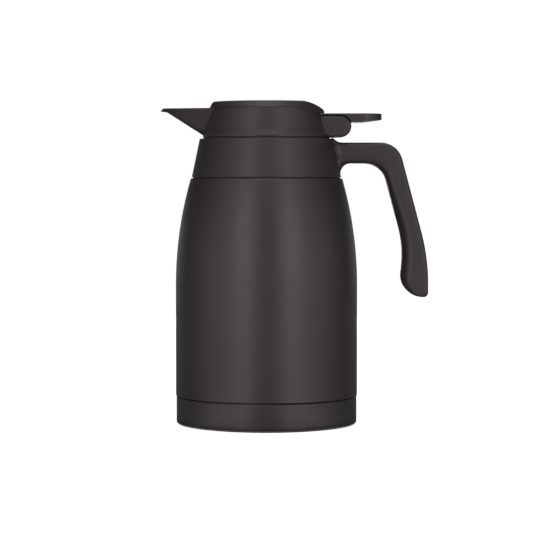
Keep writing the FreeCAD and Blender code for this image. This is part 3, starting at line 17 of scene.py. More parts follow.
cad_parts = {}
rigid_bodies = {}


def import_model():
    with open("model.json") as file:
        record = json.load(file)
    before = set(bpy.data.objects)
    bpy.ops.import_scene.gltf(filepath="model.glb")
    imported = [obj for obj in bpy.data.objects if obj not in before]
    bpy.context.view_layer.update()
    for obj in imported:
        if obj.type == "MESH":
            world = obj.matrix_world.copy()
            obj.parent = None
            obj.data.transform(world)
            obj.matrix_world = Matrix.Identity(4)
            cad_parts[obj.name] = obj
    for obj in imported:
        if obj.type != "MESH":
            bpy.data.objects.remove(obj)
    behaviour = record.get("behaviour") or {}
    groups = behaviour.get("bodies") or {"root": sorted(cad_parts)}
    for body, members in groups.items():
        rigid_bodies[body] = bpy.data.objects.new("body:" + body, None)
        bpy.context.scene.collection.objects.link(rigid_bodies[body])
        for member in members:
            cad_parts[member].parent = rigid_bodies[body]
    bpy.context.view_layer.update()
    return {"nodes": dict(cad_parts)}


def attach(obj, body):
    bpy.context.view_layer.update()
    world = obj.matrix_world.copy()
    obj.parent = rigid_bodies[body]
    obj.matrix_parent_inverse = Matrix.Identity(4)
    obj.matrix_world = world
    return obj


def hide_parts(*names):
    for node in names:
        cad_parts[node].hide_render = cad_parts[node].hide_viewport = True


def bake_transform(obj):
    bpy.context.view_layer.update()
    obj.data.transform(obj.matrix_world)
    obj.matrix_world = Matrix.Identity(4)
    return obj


log = logging.getLogger("carafe")

Colour = tuple[float, float, float]
Point = tuple[float, float, float]
Socket = bpy.types.NodeSocket

MM = 0.001
MICRON = 0.000001
WHITE = (1.0, 1.0, 1.0, 1.0)
# A point of a turned profile nearer to the axis than this is on it.
ON_AXIS = 1e-9


class Slot(Enum):
    """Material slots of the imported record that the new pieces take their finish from."""

    PLASTIC = "charcoal_plastic"
    STEEL = "steel"


class Body(Enum):
    """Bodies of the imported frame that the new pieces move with."""

    STOPPER = "stopper"
    LID = "lid"


class Grain(Enum):
    """Kinds of surface relief, as scale in waves per metre."""

    POWDER = 2600.0
    MOULDED = 4200.0
    SOFT = 3000.0


class NodeTree:
    """Short calls for building one node tree."""

    # Places of a Mix node's amount, first input, second input and result, for numbers and for colours.
    NUMBER_PLACES = (0, 2, 3, 0)
    COLOUR_PLACES = (0, 6, 7, 2)

    def __init__(self, tree: bpy.types.NodeTree) -> None:
        """Keeps the tree that the nodes go into.

        Args:
            tree: node tree of a material, a world or a node group.
        """
        self.tree = tree

    @classmethod
    def emptied(cls, owner: bpy.types.Material | bpy.types.World) -> "NodeTree":
        """Turns nodes on in a new material or world and clears them.

        Args:
            owner: the material or world.

        Returns:
            Its empty node tree.
        """
        owner.use_nodes = True
        owner.node_tree.nodes.clear()
        return cls(owner.node_tree)

    def add(self, kind: str, **values: object) -> bpy.types.Node:
        """Adds a node and sets its properties and unlinked inputs.

        Args:
            kind: Blender's name of the node type.
            **values: properties by name, and inputs by name with spaces written as underscores.

        Returns:
            The new node.
        """
        node = self.tree.nodes.new(kind)
        for name, value in values.items():
            if hasattr(node, name):
                setattr(node, name, value)
            else:
                node.inputs[name.replace("_", " ")].default_value = value
        return node

    def link(self, source: Socket, target: Socket) -> None:
        """Joins an output to an input."""
        self.tree.links.new(source, target)

    def feed(self, target: Socket, value: Socket | Colour | float) -> None:
        """Links a socket to an input, or sets the input.

        Args:
            target: the input.
            value: socket, number or colour.
        """
        if isinstance(value, Socket):
            self.link(value, target)
        elif isinstance(value, (int, float)):
            target.default_value = value
        else:
            target.default_value = (*value, 1.0)

    def effect(self, group: bpy.types.NodeTree, **values: float) -> Socket:
        """Places a shared node group with its own values and gives its output."""
        return self.add("ShaderNodeGroup", node_tree=group, **values).outputs["Value"]

    def surface(self, shader: Socket, kind: str = "ShaderNodeOutputMaterial") -> None:
        """Adds the output node of the tree and links a shader to it."""
        self.link(shader, self.add(kind).inputs["Surface"])

    def math(
        self, operation: str, first: Socket | float, second: Socket | float, clamp: bool = False
    ) -> Socket:
        """Adds a Math node.

        Args:
            operation: Blender's name of the operation.
            first: socket or number.
            second: socket or number.
            clamp: whether the result is kept between 0 and 1.

        Returns:
            The node's output.
        """
        node = self.add("ShaderNodeMath", operation=operation, use_clamp=clamp)
        self.feed(node.inputs[0], first)
        self.feed(node.inputs[1], second)
        return node.outputs[0]

    def mix(self, amount: Socket | float, first: Socket | Colour, second: Socket | Colour) -> Socket:
        """Adds a colour mix.

        Args:
            amount: socket or number, 0 for the first colour and 1 for the second.
            first: socket or colour.
            second: socket or colour.

        Returns:
            The mixed colour.
        """
        return self._mix("RGBA", self.COLOUR_PLACES, (amount, first, second))

    def mix_numbers(self, amount: Socket | float, first: Socket | float, second: Socket | float) -> Socket:
        """Adds a number mix.

        Args:
            amount: socket or number, 0 for the first number and 1 for the second.
            first: socket or number.
            second: socket or number.

        Returns:
            The mixed number.
        """
        return self._mix("FLOAT", self.NUMBER_PLACES, (amount, first, second))

    def _mix(self, kind: str, places: tuple[int, ...], values: Sequence[Socket | Colour | float]) -> Socket:
        """Adds a Mix node.

        Args:
            kind: Blender's name of what is mixed.
            places: places of the inputs and of the result.
            values: amount, first and second.

        Returns:
            The node's result.
        """
        node = self.add("ShaderNodeMix", data_type=kind)
        *inputs, result = places
        for place, value in zip(inputs, values):
            self.feed(node.inputs[place], value)
        return node.outputs[result]

    def remap(self, value: Socket, low: float, high: float) -> Socket:
        """Maps 0 to 1 onto low to high.

        Args:
            value: socket from 0 to 1.
            low: result at 0.
            high: result at 1.

        Returns:
            The mapped value.
        """
        node = self.add("ShaderNodeMapRange", To_Min=low, To_Max=high)
        self.link(value, node.inputs["Value"])
        return node.outputs["Result"]

    def soft_step(self, value: Socket, low: float, high: float) -> Socket:
        """Maps low to high onto 0 to 1 with soft ends.

        Args:
            value: socket to map.
            low: value that gives 0.
            high: value that gives 1.

        Returns:
            The mapped value.
        """
        node = self.add("ShaderNodeMapRange", From_Min=low, From_Max=high, interpolation_type="SMOOTHSTEP")
        self.link(value, node.inputs["Value"])
        return node.outputs["Result"]


class Effects:
    """Shader node groups that several finishes share, each built once."""

    # Scale of the grain's noise as a share of the scale of its cells.
    NOISE_SHARE = 0.6
    # Reach of the lighter edges, which are partly rubbed wear and partly a painted highlight, and how fast
    # they show where a surface bends.
    EDGE_REACH = 0.9 * MM
    EDGE_GAIN = 9.0

    def __init__(self) -> None:
        """Builds the groups."""
        self.grain = self._group("surface_grain", (("Scale", 3000.0), ("Softness", 0.5)), self._fill_grain)
        self.drift = self._group("tone_drift", (("Scale", 30.0), ("Streak", 1.0)), self._fill_drift)
        self.edges = self._group("edge_burnish", (("Wear", 0.35),), self._fill_edges)
        self.seams = self._group("seam_shade", (("Depth", 2.2 * MM),), self._fill_seams)

    def _group(
        self,
        name: str,
        inputs: Sequence[tuple[str, float]],
        fill: Callable[[NodeTree, bpy.types.Node], Socket],
    ) -> bpy.types.NodeTree:
        """Makes a node group with number inputs and one number output.

        Args:
            name: name of the group.
            inputs: names and default values of the inputs.
            fill: adds the nodes after the group's input node and gives the socket of the result.

        Returns:
            The node group.
        """
        group = bpy.data.node_groups.new(name, "ShaderNodeTree")
        for title, value in inputs:
            socket = group.interface.new_socket(title, in_out="INPUT", socket_type="NodeSocketFloat")
            socket.default_value = value
        group.interface.new_socket("Value", in_out="OUTPUT", socket_type="NodeSocketFloat")
        nodes = NodeTree(group)
        result = fill(nodes, nodes.add("NodeGroupInput"))
        nodes.link(result, nodes.add("NodeGroupOutput").inputs["Value"])
        return group

    def _fill_grain(self, nodes: NodeTree, entry: bpy.types.Node) -> Socket:
        """Makes the fine relief of a coat or a moulding: soft cells under a finer noise.

        Args:
            nodes: tree of the group.
            entry: node with the group's inputs.

        Returns:
            Height of the relief, from 0 to 1.
        """
        place = nodes.add("ShaderNodeTexCoord").outputs["Object"]
        scale = entry.outputs["Scale"]
        cells = nodes.add("ShaderNodeTexVoronoi", feature="SMOOTH_F1", Smoothness=0.7)
        nodes.link(place, cells.inputs["Vector"])
        nodes.link(scale, cells.inputs["Scale"])
        noise = nodes.add("ShaderNodeTexNoise", Detail=3.0, Roughness=0.6)
        nodes.link(place, noise.inputs["Vector"])
        nodes.link(nodes.math("MULTIPLY", scale, self.NOISE_SHARE), noise.inputs["Scale"])
        return nodes.mix_numbers(entry.outputs["Softness"], cells.outputs["Distance"], noise.outputs["Fac"])

    def _fill_drift(self, nodes: NodeTree, entry: bpy.types.Node) -> Socket:
        """Makes a slow change of tone over a piece, drawn out along Z where Streak is under 1.

        Args:
            nodes: tree of the group.
            entry: node with the group's inputs.

        Returns:
            Mask from 0 to 1.
        """
        place = nodes.add("ShaderNodeTexCoord").outputs["Object"]
        stretch = nodes.add("ShaderNodeCombineXYZ", X=1.0, Y=1.0)
        nodes.link(entry.outputs["Streak"], stretch.inputs["Z"])
        drawn = nodes.add("ShaderNodeVectorMath", operation="MULTIPLY")
        nodes.link(place, drawn.inputs[0])
        nodes.link(stretch.outputs[0], drawn.inputs[1])
        noise = nodes.add("ShaderNodeTexNoise", Detail=5.0, Roughness=0.55)
        nodes.link(drawn.outputs[0], noise.inputs["Vector"])
        nodes.link(entry.outputs["Scale"], noise.inputs["Scale"])
        return nodes.soft_step(noise.outputs["Fac"], low=0.3, high=0.7)

    def _fill_edges(self, nodes: NodeTree, entry: bpy.types.Node) -> Socket:
        """Makes a mask of the edges that are lightened, partly wear that hands and cloths rub and partly a
        painted highlight, broken up by a noise.

        Args:
            nodes: tree of the group.
            entry: node with the group's inputs.

        Returns:
            Mask from 0 to 1.
        """
        bevel = nodes.add("ShaderNodeBevel", samples=4, Radius=self.EDGE_REACH)
        flat = nodes.add("ShaderNodeNewGeometry")
        same = nodes.add("ShaderNodeVectorMath", operation="DOT_PRODUCT")
        nodes.link(bevel.outputs["Normal"], same.inputs[0])
        nodes.link(flat.outputs["Normal"], same.inputs[1])
        bend = nodes.math("SUBTRACT", 1.0, same.outputs["Value"], clamp=True)
        place = nodes.add("ShaderNodeTexCoord").outputs["Object"]
        noise = nodes.add("ShaderNodeTexNoise", Scale=160.0, Detail=4.0)
        nodes.link(place, noise.inputs["Vector"])
        rubbed = nodes.math("MULTIPLY", bend, self.EDGE_GAIN, clamp=True)
        broken = nodes.math("MULTIPLY", rubbed, noise.outputs["Fac"])
        return nodes.math("MULTIPLY", broken, entry.outputs["Wear"], clamp=True)

    def _fill_seams(self, nodes: NodeTree, entry: bpy.types.Node) -> Socket:
        """Makes a mask that is 1 on open surfaces and falls to 0 deep in seams, where the colour gets painted
        shade.

        Args:
            nodes: tree of the group.
            entry: node with the group's inputs.

        Returns:
            Mask from 0 to 1.
        """
        reach = nodes.add("ShaderNodeAmbientOcclusion", samples=8)
        nodes.link(entry.outputs["Depth"], reach.inputs["Distance"])
        return nodes.soft_step(reach.outputs["AO"], low=0.25, high=0.75)


@dataclass(frozen=True)
class Finish:
    """A finish with its own material.

    Attributes:
        name: name of the material.
        colour: main colour, linear.
        drift_colour: colour at the other end of the slow change of tone.
        roughness: lowest and highest roughness.
        grain: kind of fine relief.
        grain_height: height of that relief.
        specular: specular level of the surface.
        gloss: tint of the gloss.
        wear: strength of the lighter edges, partly rubbed wear and partly a painted highlight.
        edge_wear_and_highlight_colour: colour of these edges.
        polish: roughness that the rubbed edges lose.
        seam_depth: reach of the painted shade in seams, or 0 for a finish that shows none.
        seam_shade_share: share of the main colour that is left deep in a seam, as painted shade.
        seam_roughness: roughness that is added deep in a seam.
    """

    name: str
    colour: Colour
    drift_colour: Colour
    roughness: tuple[float, float]
    grain: Grain = Grain.MOULDED
    grain_height: float = 12 * MICRON
    specular: float = 0.5
    gloss: Colour = (1.0, 1.0, 1.0)
    wear: float = 0.3
    edge_wear_and_highlight_colour: Colour = (0.06, 0.055, 0.056)
    polish: float = 0.12
    seam_depth: float = 0.0
    seam_shade_share: float = 0.1
    seam_roughness: float = 0.5

    def material(self, effects: Effects) -> bpy.types.Material:
        """Builds the material.

        Args:
            effects: shared node groups.

        Returns:
            The material.
        """
        made = bpy.data.materials.new(self.name)
        nodes = NodeTree.emptied(made)
        shader = nodes.add("ShaderNodeBsdfPrincipled", Specular_IOR_Level=self.specular)
        shader.inputs["Specular Tint"].default_value = (*self.gloss, 1.0)
        drift = nodes.effect(effects.drift, Scale=34.0, Streak=0.5)
        handled = nodes.effect(effects.drift, Scale=90.0, Streak=1.0)
        edges = nodes.effect(effects.edges, Wear=self.wear)
        grain = nodes.effect(effects.grain, Scale=self.grain.value, Softness=0.45)
        tone = nodes.mix(drift, self.colour, self.drift_colour)
        # Partly wear and partly a painted highlight: the edges get a lighter colour.
        colour = nodes.mix(edges, tone, self.edge_wear_and_highlight_colour)
        matte = nodes.remap(handled, *self.roughness)
        roughness = nodes.math("SUBTRACT", matte, nodes.math("MULTIPLY", edges, self.polish))
        # Painted shade: deep in seams the colour darkens to a share of itself, and the roughness rises.
        if self.seam_depth:
            is_open = nodes.effect(effects.seams, Depth=self.seam_depth)
            seam_shade_colour = tuple(channel * self.seam_shade_share for channel in self.colour)
            colour = nodes.mix(is_open, seam_shade_colour, colour)
            dull = nodes.remap(is_open, self.seam_roughness, 0.0)
            roughness = nodes.math("ADD", roughness, dull, clamp=True)
        nodes.link(colour, shader.inputs["Base Color"])
        nodes.link(roughness, shader.inputs["Roughness"])
        relief = nodes.add("ShaderNodeBump", Strength=1.0, Distance=self.grain_height)
        nodes.link(grain, relief.inputs["Height"])
        nodes.link(relief.outputs["Normal"], shader.inputs["Normal"])
        nodes.surface(shader.outputs["BSDF"])
        return made


@dataclass(frozen=True)
class SteelFinish:
    """Satin steel with fine lines round the pot's axis.

    Attributes:
        name: name of the material.
        colour: colour of the metal, linear.
        roughness: lowest and highest roughness.
        lines: lines per metre along the axis.
        breaks: breaks in the lines, per metre across the axis.
        shade: share of the colour that is left in the lines and stains.
        stain: strength of the stains.
        line_depth: depth of the lines.
    """

    name: str
    colour: Colour = (0.6, 0.585, 0.57)
    roughness: tuple[float, float] = (0.22, 0.42)
    lines: float = 9000.0
    breaks: float = 120.0
    shade: float = 0.82
    stain: float = 0.18
    line_depth: float = 6 * MICRON

    def material(self, effects: Effects) -> bpy.types.Material:
        """Builds the material.

        Args:
            effects: shared node groups.

        Returns:
            The material.
        """
        made = bpy.data.materials.new(self.name)
        nodes = NodeTree.emptied(made)
        shader = nodes.add("ShaderNodeBsdfPrincipled", Metallic=1.0)
        place = nodes.add("ShaderNodeTexCoord").outputs["Object"]
        drawn = nodes.add("ShaderNodeVectorMath", operation="MULTIPLY")
        nodes.link(place, drawn.inputs[0])
        drawn.inputs[1].default_value = (self.breaks, self.breaks, self.lines)
        noise = nodes.add("ShaderNodeTexNoise", Scale=1.0, Detail=4.0, Roughness=0.65)
        nodes.link(drawn.outputs[0], noise.inputs["Vector"])
        brushed = noise.outputs["Fac"]
        drift = nodes.effect(effects.drift, Scale=40.0, Streak=0.4)
        darker = tuple(channel * self.shade for channel in self.colour)
        lined = nodes.mix(brushed, darker, self.colour)
        stained = nodes.mix(nodes.math("MULTIPLY", drift, self.stain), lined, darker)
        nodes.link(stained, shader.inputs["Base Color"])
        nodes.link(nodes.remap(brushed, *self.roughness), shader.inputs["Roughness"])
        relief = nodes.add("ShaderNodeBump", Strength=0.6, Distance=self.line_depth)
        nodes.link(brushed, relief.inputs["Height"])
        nodes.link(relief.outputs["Normal"], shader.inputs["Normal"])
        nodes.surface(shader.outputs["BSDF"])
        return made


COAT = Finish(
    name="charcoal_powder_coat",
    colour=(0.0325, 0.0268, 0.0277),
    drift_colour=(0.0345, 0.0286, 0.0295),
    roughness=(0.35, 0.4),
    grain=Grain.POWDER,
    grain_height=14 * MICRON,
    gloss=(1.0, 0.9, 0.93),
    wear=0.5,
    seam_depth=2.2 * MM,
)
PLASTIC = Finish(
    name="charcoal_moulding",
    colour=(0.0305, 0.0255, 0.0263),
    drift_colour=(0.0325, 0.0272, 0.028),
    roughness=(0.4, 0.46),
    specular=0.47,
    gloss=(1.0, 0.9, 0.93),
    wear=0.5,
    seam_depth=2.2 * MM,
)
# The plug and the seal's post come out of the pot, so they get no painted seam shade from what is next to them
# at rest.
INNER_PLASTIC = replace(PLASTIC, name="charcoal_inner_moulding", seam_depth=0.0)
SILICONE = Finish(
    name="grey_silicone",
    colour=(0.46, 0.45, 0.44),
    drift_colour=(0.5, 0.49, 0.48),
    roughness=(0.5, 0.6),
    grain=Grain.SOFT,
    wear=0.1,
    edge_wear_and_highlight_colour=(0.55, 0.54, 0.53),
)
SOFT_RING = Finish(
    name="dark_soft_ring",
    colour=(0.026, 0.025, 0.026),
    drift_colour=(0.03, 0.029, 0.03),
    roughness=(0.62, 0.72),
    grain=Grain.SOFT,
    grain_height=20 * MICRON,
    wear=0.2,
    edge_wear_and_highlight_colour=(0.07, 0.068, 0.068),
)
FOAM = Finish(
    name="pale_foam",
    colour=(0.8, 0.79, 0.74),
    drift_colour=(0.74, 0.72, 0.67),
    roughness=(0.85, 0.95),
    grain=Grain.SOFT,
    grain_height=100 * MICRON,
    wear=0.0,
)
STEEL = SteelFinish(name="satin_steel")
BRIGHT_STEEL = SteelFinish(name="bright_steel", colour=(0.66, 0.65, 0.64), roughness=(0.16, 0.3))
FINISHES = (COAT, PLASTIC, INNER_PLASTIC, SILICONE, SOFT_RING, FOAM, STEEL, BRIGHT_STEEL)


class Wardrobe:
    """Materials of all finishes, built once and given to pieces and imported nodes."""

    def __init__(self, nodes: dict[str, bpy.types.Object]) -> None:
        """Builds the materials.

        Args:
            nodes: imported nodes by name.
        """
        effects = Effects()
        self.nodes = nodes
        self.materials = {finish.name: finish.material(effects) for finish in FINISHES}

    def dress_piece(self, piece: bpy.types.Object, finish: Finish | SteelFinish) -> None:
        """Gives one object the material of a finish and reports it.

        Args:
            piece: the object.
            finish: finish that it gets.
        """
        piece.data.materials.clear()
        piece.data.materials.append(self.materials[finish.name])
        log.info("dressed %s in %s", piece.name, finish.name)

    def dress_nodes(self, names: Sequence[str], finish: Finish | SteelFinish) -> None:
        """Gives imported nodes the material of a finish."""
        for name in names:
            self.dress_piece(self.nodes[name], finish)


def link_object(name: str, data: bpy.types.ID) -> bpy.types.Object:
    """Makes an object and links it to the scene.

    Args:
        name: name of the object.
        data: its mesh, lamp or camera.

    Returns:
        The object.
    """
    made = bpy.data.objects.new(name, data)
    bpy.context.scene.collection.objects.link(made)
    return made


def new_piece(name: str, shape: bmesh.types.BMesh, smooth: bool = True) -> bpy.types.Object:
    """Makes an object of a finished bmesh and frees the bmesh.

    Args:
        name: name of the piece.
        shape: its mesh, in metres in the row frame.
        smooth: whether its faces are shaded smooth.

    Returns:
        The object, linked to the scene.
    """
    mesh = bpy.data.meshes.new(name)
    bmesh.ops.recalc_face_normals(shape, faces=shape.faces)
    shape.to_mesh(mesh)
    shape.free()
    for polygon in mesh.polygons:
        polygon.use_smooth = smooth
    return link_object(name, mesh)


def face_towards(item: bpy.types.Object, place: Point | Vector, target: Point | Vector) -> None:
    """Puts a lamp or a camera in its place and turns it to a point.

    Args:
        item: the lamp or camera.
        place: where it stands.
        target: point that it faces.
    """
    item.location = place
    item.rotation_mode = "QUATERNION"
    item.rotation_quaternion = (Vector(target) - Vector(place)).to_track_quat("-Z", "Y")


def lathed(profile: Sequence[tuple[float, float]], steps: int) -> bmesh.types.BMesh:
    """Turns a closed or axis-to-axis profile about Z.

    Args:
        profile: radius and height pairs. A radius of 0 closes the form on the axis.
        steps: faces round the axis.

    Returns:
        The turned form.
    """
    shape = bmesh.new()
    rings = []
    for radius, height in profile:
        if radius < ON_AXIS:
            rings.append([shape.verts.new((0.0, 0.0, height))])
            continue
        angles = (math.tau * step / steps for step in range(steps))
        rings.append([shape.verts.new((radius * math.cos(a), radius * math.sin(a), height)) for a in angles])
    for lower, upper in zip(rings, rings[1:]):
        for step in range(steps):
            after = (step + 1) % steps
            corners = [lower[step % len(lower)], lower[after % len(lower)]]
            corners += [upper[after % len(upper)], upper[step % len(upper)]]
            shape.faces.new(list(dict.fromkeys(corners)))
    return shape


@dataclass
class Vessel:
    """Steel body with base, collar and handle, which stands still.

    Attributes:
        coated: nodes with the powder coat.
        moulded: nodes of dark plastic.
        steel: nodes of satin steel.
        bright: nodes of bright steel.
        silicone: nodes of silicone.
        soft: nodes of the soft dark material.
    """

    coated: tuple[str, ...] = ("outer_shell",)
    moulded: tuple[str, ...] = ("base_cup", "shoulder_collar", "handle")
    steel: tuple[str, ...] = ("shell_bottom", "inner_bottle", "getter")
    bright: tuple[str, ...] = ("handle_screws",)
    silicone: tuple[str, ...] = ("mouth_seal",)
    soft: tuple[str, ...] = ("foot_ring",)

    def build(self) -> None:
        """Adds no pieces, because the vessel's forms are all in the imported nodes."""
        log.info("vessel: all forms are packed nodes")

    def dress(self, wardrobe: Wardrobe) -> None:
        """Gives the vessel's nodes their finishes.

        Args:
            wardrobe: materials of all finishes.
        """
        wardrobe.dress_nodes(self.coated, COAT)
        wardrobe.dress_nodes(self.moulded, PLASTIC)
        wardrobe.dress_nodes(self.steel, STEEL)
        wardrobe.dress_nodes(self.bright, BRIGHT_STEEL)
        wardrobe.dress_nodes(self.silicone, SILICONE)
        wardrobe.dress_nodes(self.soft, SOFT_RING)


@dataclass
class Spring:
    """Torsion spring on the hinge pin, drawn as one wire.

    Attributes:
        axis_x: place of the pin's axis along X.
        axis_z: place of the pin's axis along Z.
        radius: radius of the coil at the middle of the wire.
        wire: diameter of the wire.
        pitch: distance between turns.
        quarters: quarter turns of the coil.
        first_angle: angle round the pin where the coil starts, in degrees.
        leg_down: length of the leg on the floor of the hinge slot.
        leg_up: length of the leg under the lever.
        points_per_quarter: control points of the wire in a quarter turn.
        point_reach: distance of these points from the axis, as a share of the radius.
        nudge: quarter turns to each side of a point, between which the wire's direction is taken.
    """

    axis_x: float = 52.82 * MM
    axis_z: float = 214.65 * MM
    radius: float = 2.8 * MM
    wire: float = 1.0 * MM
    pitch: float = 1.5 * MM
    quarters: int = 21
    first_angle: float = 225.0
    leg_down: float = 5.115 * MM
    leg_up: float = 7.802 * MM
    points_per_quarter: int = 4
    point_reach: float = 1.012
    nudge: float = 0.01

    def coil_point(self, quarter: float) -> Vector:
        """Finds a point of the coil.

        Args:
            quarter: quarter turns from the coil's start.

        Returns:
            The point.
        """
        angle = math.radians(self.first_angle) - quarter * math.pi / 2
        across = (quarter - self.quarters / 2) * self.pitch / 4
        reach = self.radius * self.point_reach
        return Vector((self.axis_x + reach * math.cos(angle), across, self.axis_z + reach * math.sin(angle)))

    def coil_heading(self, quarter: float) -> Vector:
        """Gives the direction of the wire after a number of quarter turns."""
        return (self.coil_point(quarter + self.nudge) - self.coil_point(quarter - self.nudge)).normalized()

    def build(self) -> bpy.types.Object:
        """Makes the wire in place of the imported spring, which it hides.

        Returns:
            The spring.
        """
        steps = self.quarters * self.points_per_quarter
        first = self.coil_point(0) - self.coil_heading(0) * self.leg_down
        last = self.coil_point(self.quarters) + self.coil_heading(self.quarters) * self.leg_up
        coil = (self.coil_point(step / self.points_per_quarter) for step in range(steps + 1))
        piece = link_object("hinge_spring", self._wire_mesh([first, *coil, last]))
        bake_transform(piece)
        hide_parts("return_spring")
        return piece

    def _wire_mesh(self, points: Sequence[Vector]) -> bpy.types.Mesh:
        """Makes the mesh of a round wire along a smooth line.

        Args:
            points: control points of the line.

        Returns:
            The mesh.
        """
        curve = bpy.data.curves.new("return_spring_line", "CURVE")
        curve.dimensions = "3D"
        curve.bevel_depth = self.wire / 2
        curve.bevel_resolution = 4
        curve.resolution_u = 3
        curve.use_fill_caps = True
        spline = curve.splines.new("NURBS")
        spline.points.add(len(points) - 1)
        for target, point in zip(spline.points, points):
            target.co = (*point, 1.0)
        spline.order_u = 3
        spline.use_endpoint_u = True
        drawn = bpy.data.objects.new("return_spring_line", curve)
        mesh = bpy.data.meshes.new_from_object(drawn)
        bpy.data.objects.remove(drawn)
        mesh.name = "hinge_spring"
        return mesh


@dataclass
class PlugThread:
    """Two-start screw thread on the wall of the plug.

    Attributes:
        root_radius: radius inside the wall, where the ridge starts.
        crest_radius: radius of the ridge's crest.
        foot: height where the ridge starts.
        pitch: rise in one turn.
        turns: turns of each start.
        starts: number of starts.
        root_width: width of the ridge at its root.
        crest_width: width of the ridge at its crest.
        steps: sections along each ridge.
        run_outs: how many times the length of a ridge holds the part where it fades out at an end.
    """

    root_radius: float = 36.5 * MM
    crest_radius: float = 37.6 * MM
    foot: float = 190.8 * MM
    pitch: float = 8.0 * MM
    turns: float = 1.1
    starts: int = 2
    root_width: float = 2.2 * MM
    crest_width: float = 0.9 * MM
    steps: int = 150
    run_outs: int = 14

    def build(self) -> bpy.types.Object:
        """Makes the ridges, which fade out at both ends.

        Returns:
            The thread.
        """
        shape = bmesh.new()
        for start in range(self.starts):
            self._ridge(shape, math.tau * start / self.starts)
        piece = new_piece("plug_thread", shape)
        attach(piece, Body.STOPPER.value)
        return piece

    def _ridge(self, shape: bmesh.types.BMesh, first_angle: float) -> None:
        """Adds one ridge.

        Args:
            shape: mesh that takes the ridge.
            first_angle: angle where the ridge starts, in radians.
        """
        last: list[bmesh.types.BMVert] = []
        for step in range(self.steps + 1):
            ring = self._section(shape, first_angle, step / self.steps)
            if last:
                for index in range(len(ring)):
                    after = (index + 1) % len(ring)
                    shape.faces.new((last[index], last[after], ring[after], ring[index]))
            else:
                shape.faces.new(ring)
            last = ring
        shape.faces.new(last[::-1])

    def _section(
        self, shape: bmesh.types.BMesh, first_angle: float, share: float
    ) -> list[bmesh.types.BMVert]:
        """Adds the corners of one section of a ridge.

        Args:
            shape: mesh that takes the corners.
            first_angle: angle where the ridge starts, in radians.
            share: place along the ridge, from 0 to 1.

        Returns:
            The four corners, from the lower root to the upper root.
        """
        angle = first_angle + share * self.turns * math.tau
        middle = self.foot + share * self.turns * self.pitch
        fade = min(1.0, share * self.run_outs, (1 - share) * self.run_outs)
        crest = self.root_radius + (self.crest_radius - self.root_radius) * fade
        ring = []
        for radius, offset in (
            (self.root_radius, -self.root_width / 2),
            (crest, -self.crest_width / 2),
            (crest, self.crest_width / 2),
            (self.root_radius, self.root_width / 2),
        ):
            corner = (radius * math.cos(angle), radius * math.sin(angle), middle + offset)
            ring.append(shape.verts.new(corner))
        return ring


@dataclass
class Stopper:
    """Pour head with its plug, which lifts out of the neck.

    Attributes:
        moulded: nodes of dark plastic on the outside.
        inner: nodes of dark plastic inside the pot.
        silicone: nodes of silicone.
        foam: nodes of foam.
        bright: nodes of bright steel.
        spring: spring in the hinge.
        thread: thread on the plug.
        pieces: pieces that were built, by name.
    """

    moulded: tuple[str, ...] = ("pour_head",)
    inner: tuple[str, ...] = ("stopper_plug",)
    silicone: tuple[str, ...] = ("stopper_gasket", "duct_seal")
    foam: tuple[str, ...] = ("plug_insulation",)
    bright: tuple[str, ...] = ("hinge_pin", "return_spring")
    spring: Spring = field(default_factory=Spring)
    thread: PlugThread = field(default_factory=PlugThread)
    pieces: dict[str, bpy.types.Object] = field(default_factory=dict)

    def build(self) -> None:
        """Makes the spring and the thread."""
        self.pieces["spring"] = self.spring.build()
        self.pieces["thread"] = self.thread.build()
        for piece in self.pieces.values():
            log.info("built %s", piece.name)

    def dress(self, wardrobe: Wardrobe) -> None:
        """Gives the stopper's nodes and pieces their finishes.

        Args:
            wardrobe: materials of all finishes.
        """
        wardrobe.dress_nodes(self.moulded, PLASTIC)
        wardrobe.dress_nodes(self.inner, INNER_PLASTIC)
        wardrobe.dress_nodes(self.silicone, SILICONE)
        wardrobe.dress_nodes(self.foam, FOAM)
        wardrobe.dress_nodes(self.bright, BRIGHT_STEEL)
        wardrobe.dress_piece(self.pieces["spring"], BRIGHT_STEEL)
        wardrobe.dress_piece(self.pieces["thread"], INNER_PLASTIC)


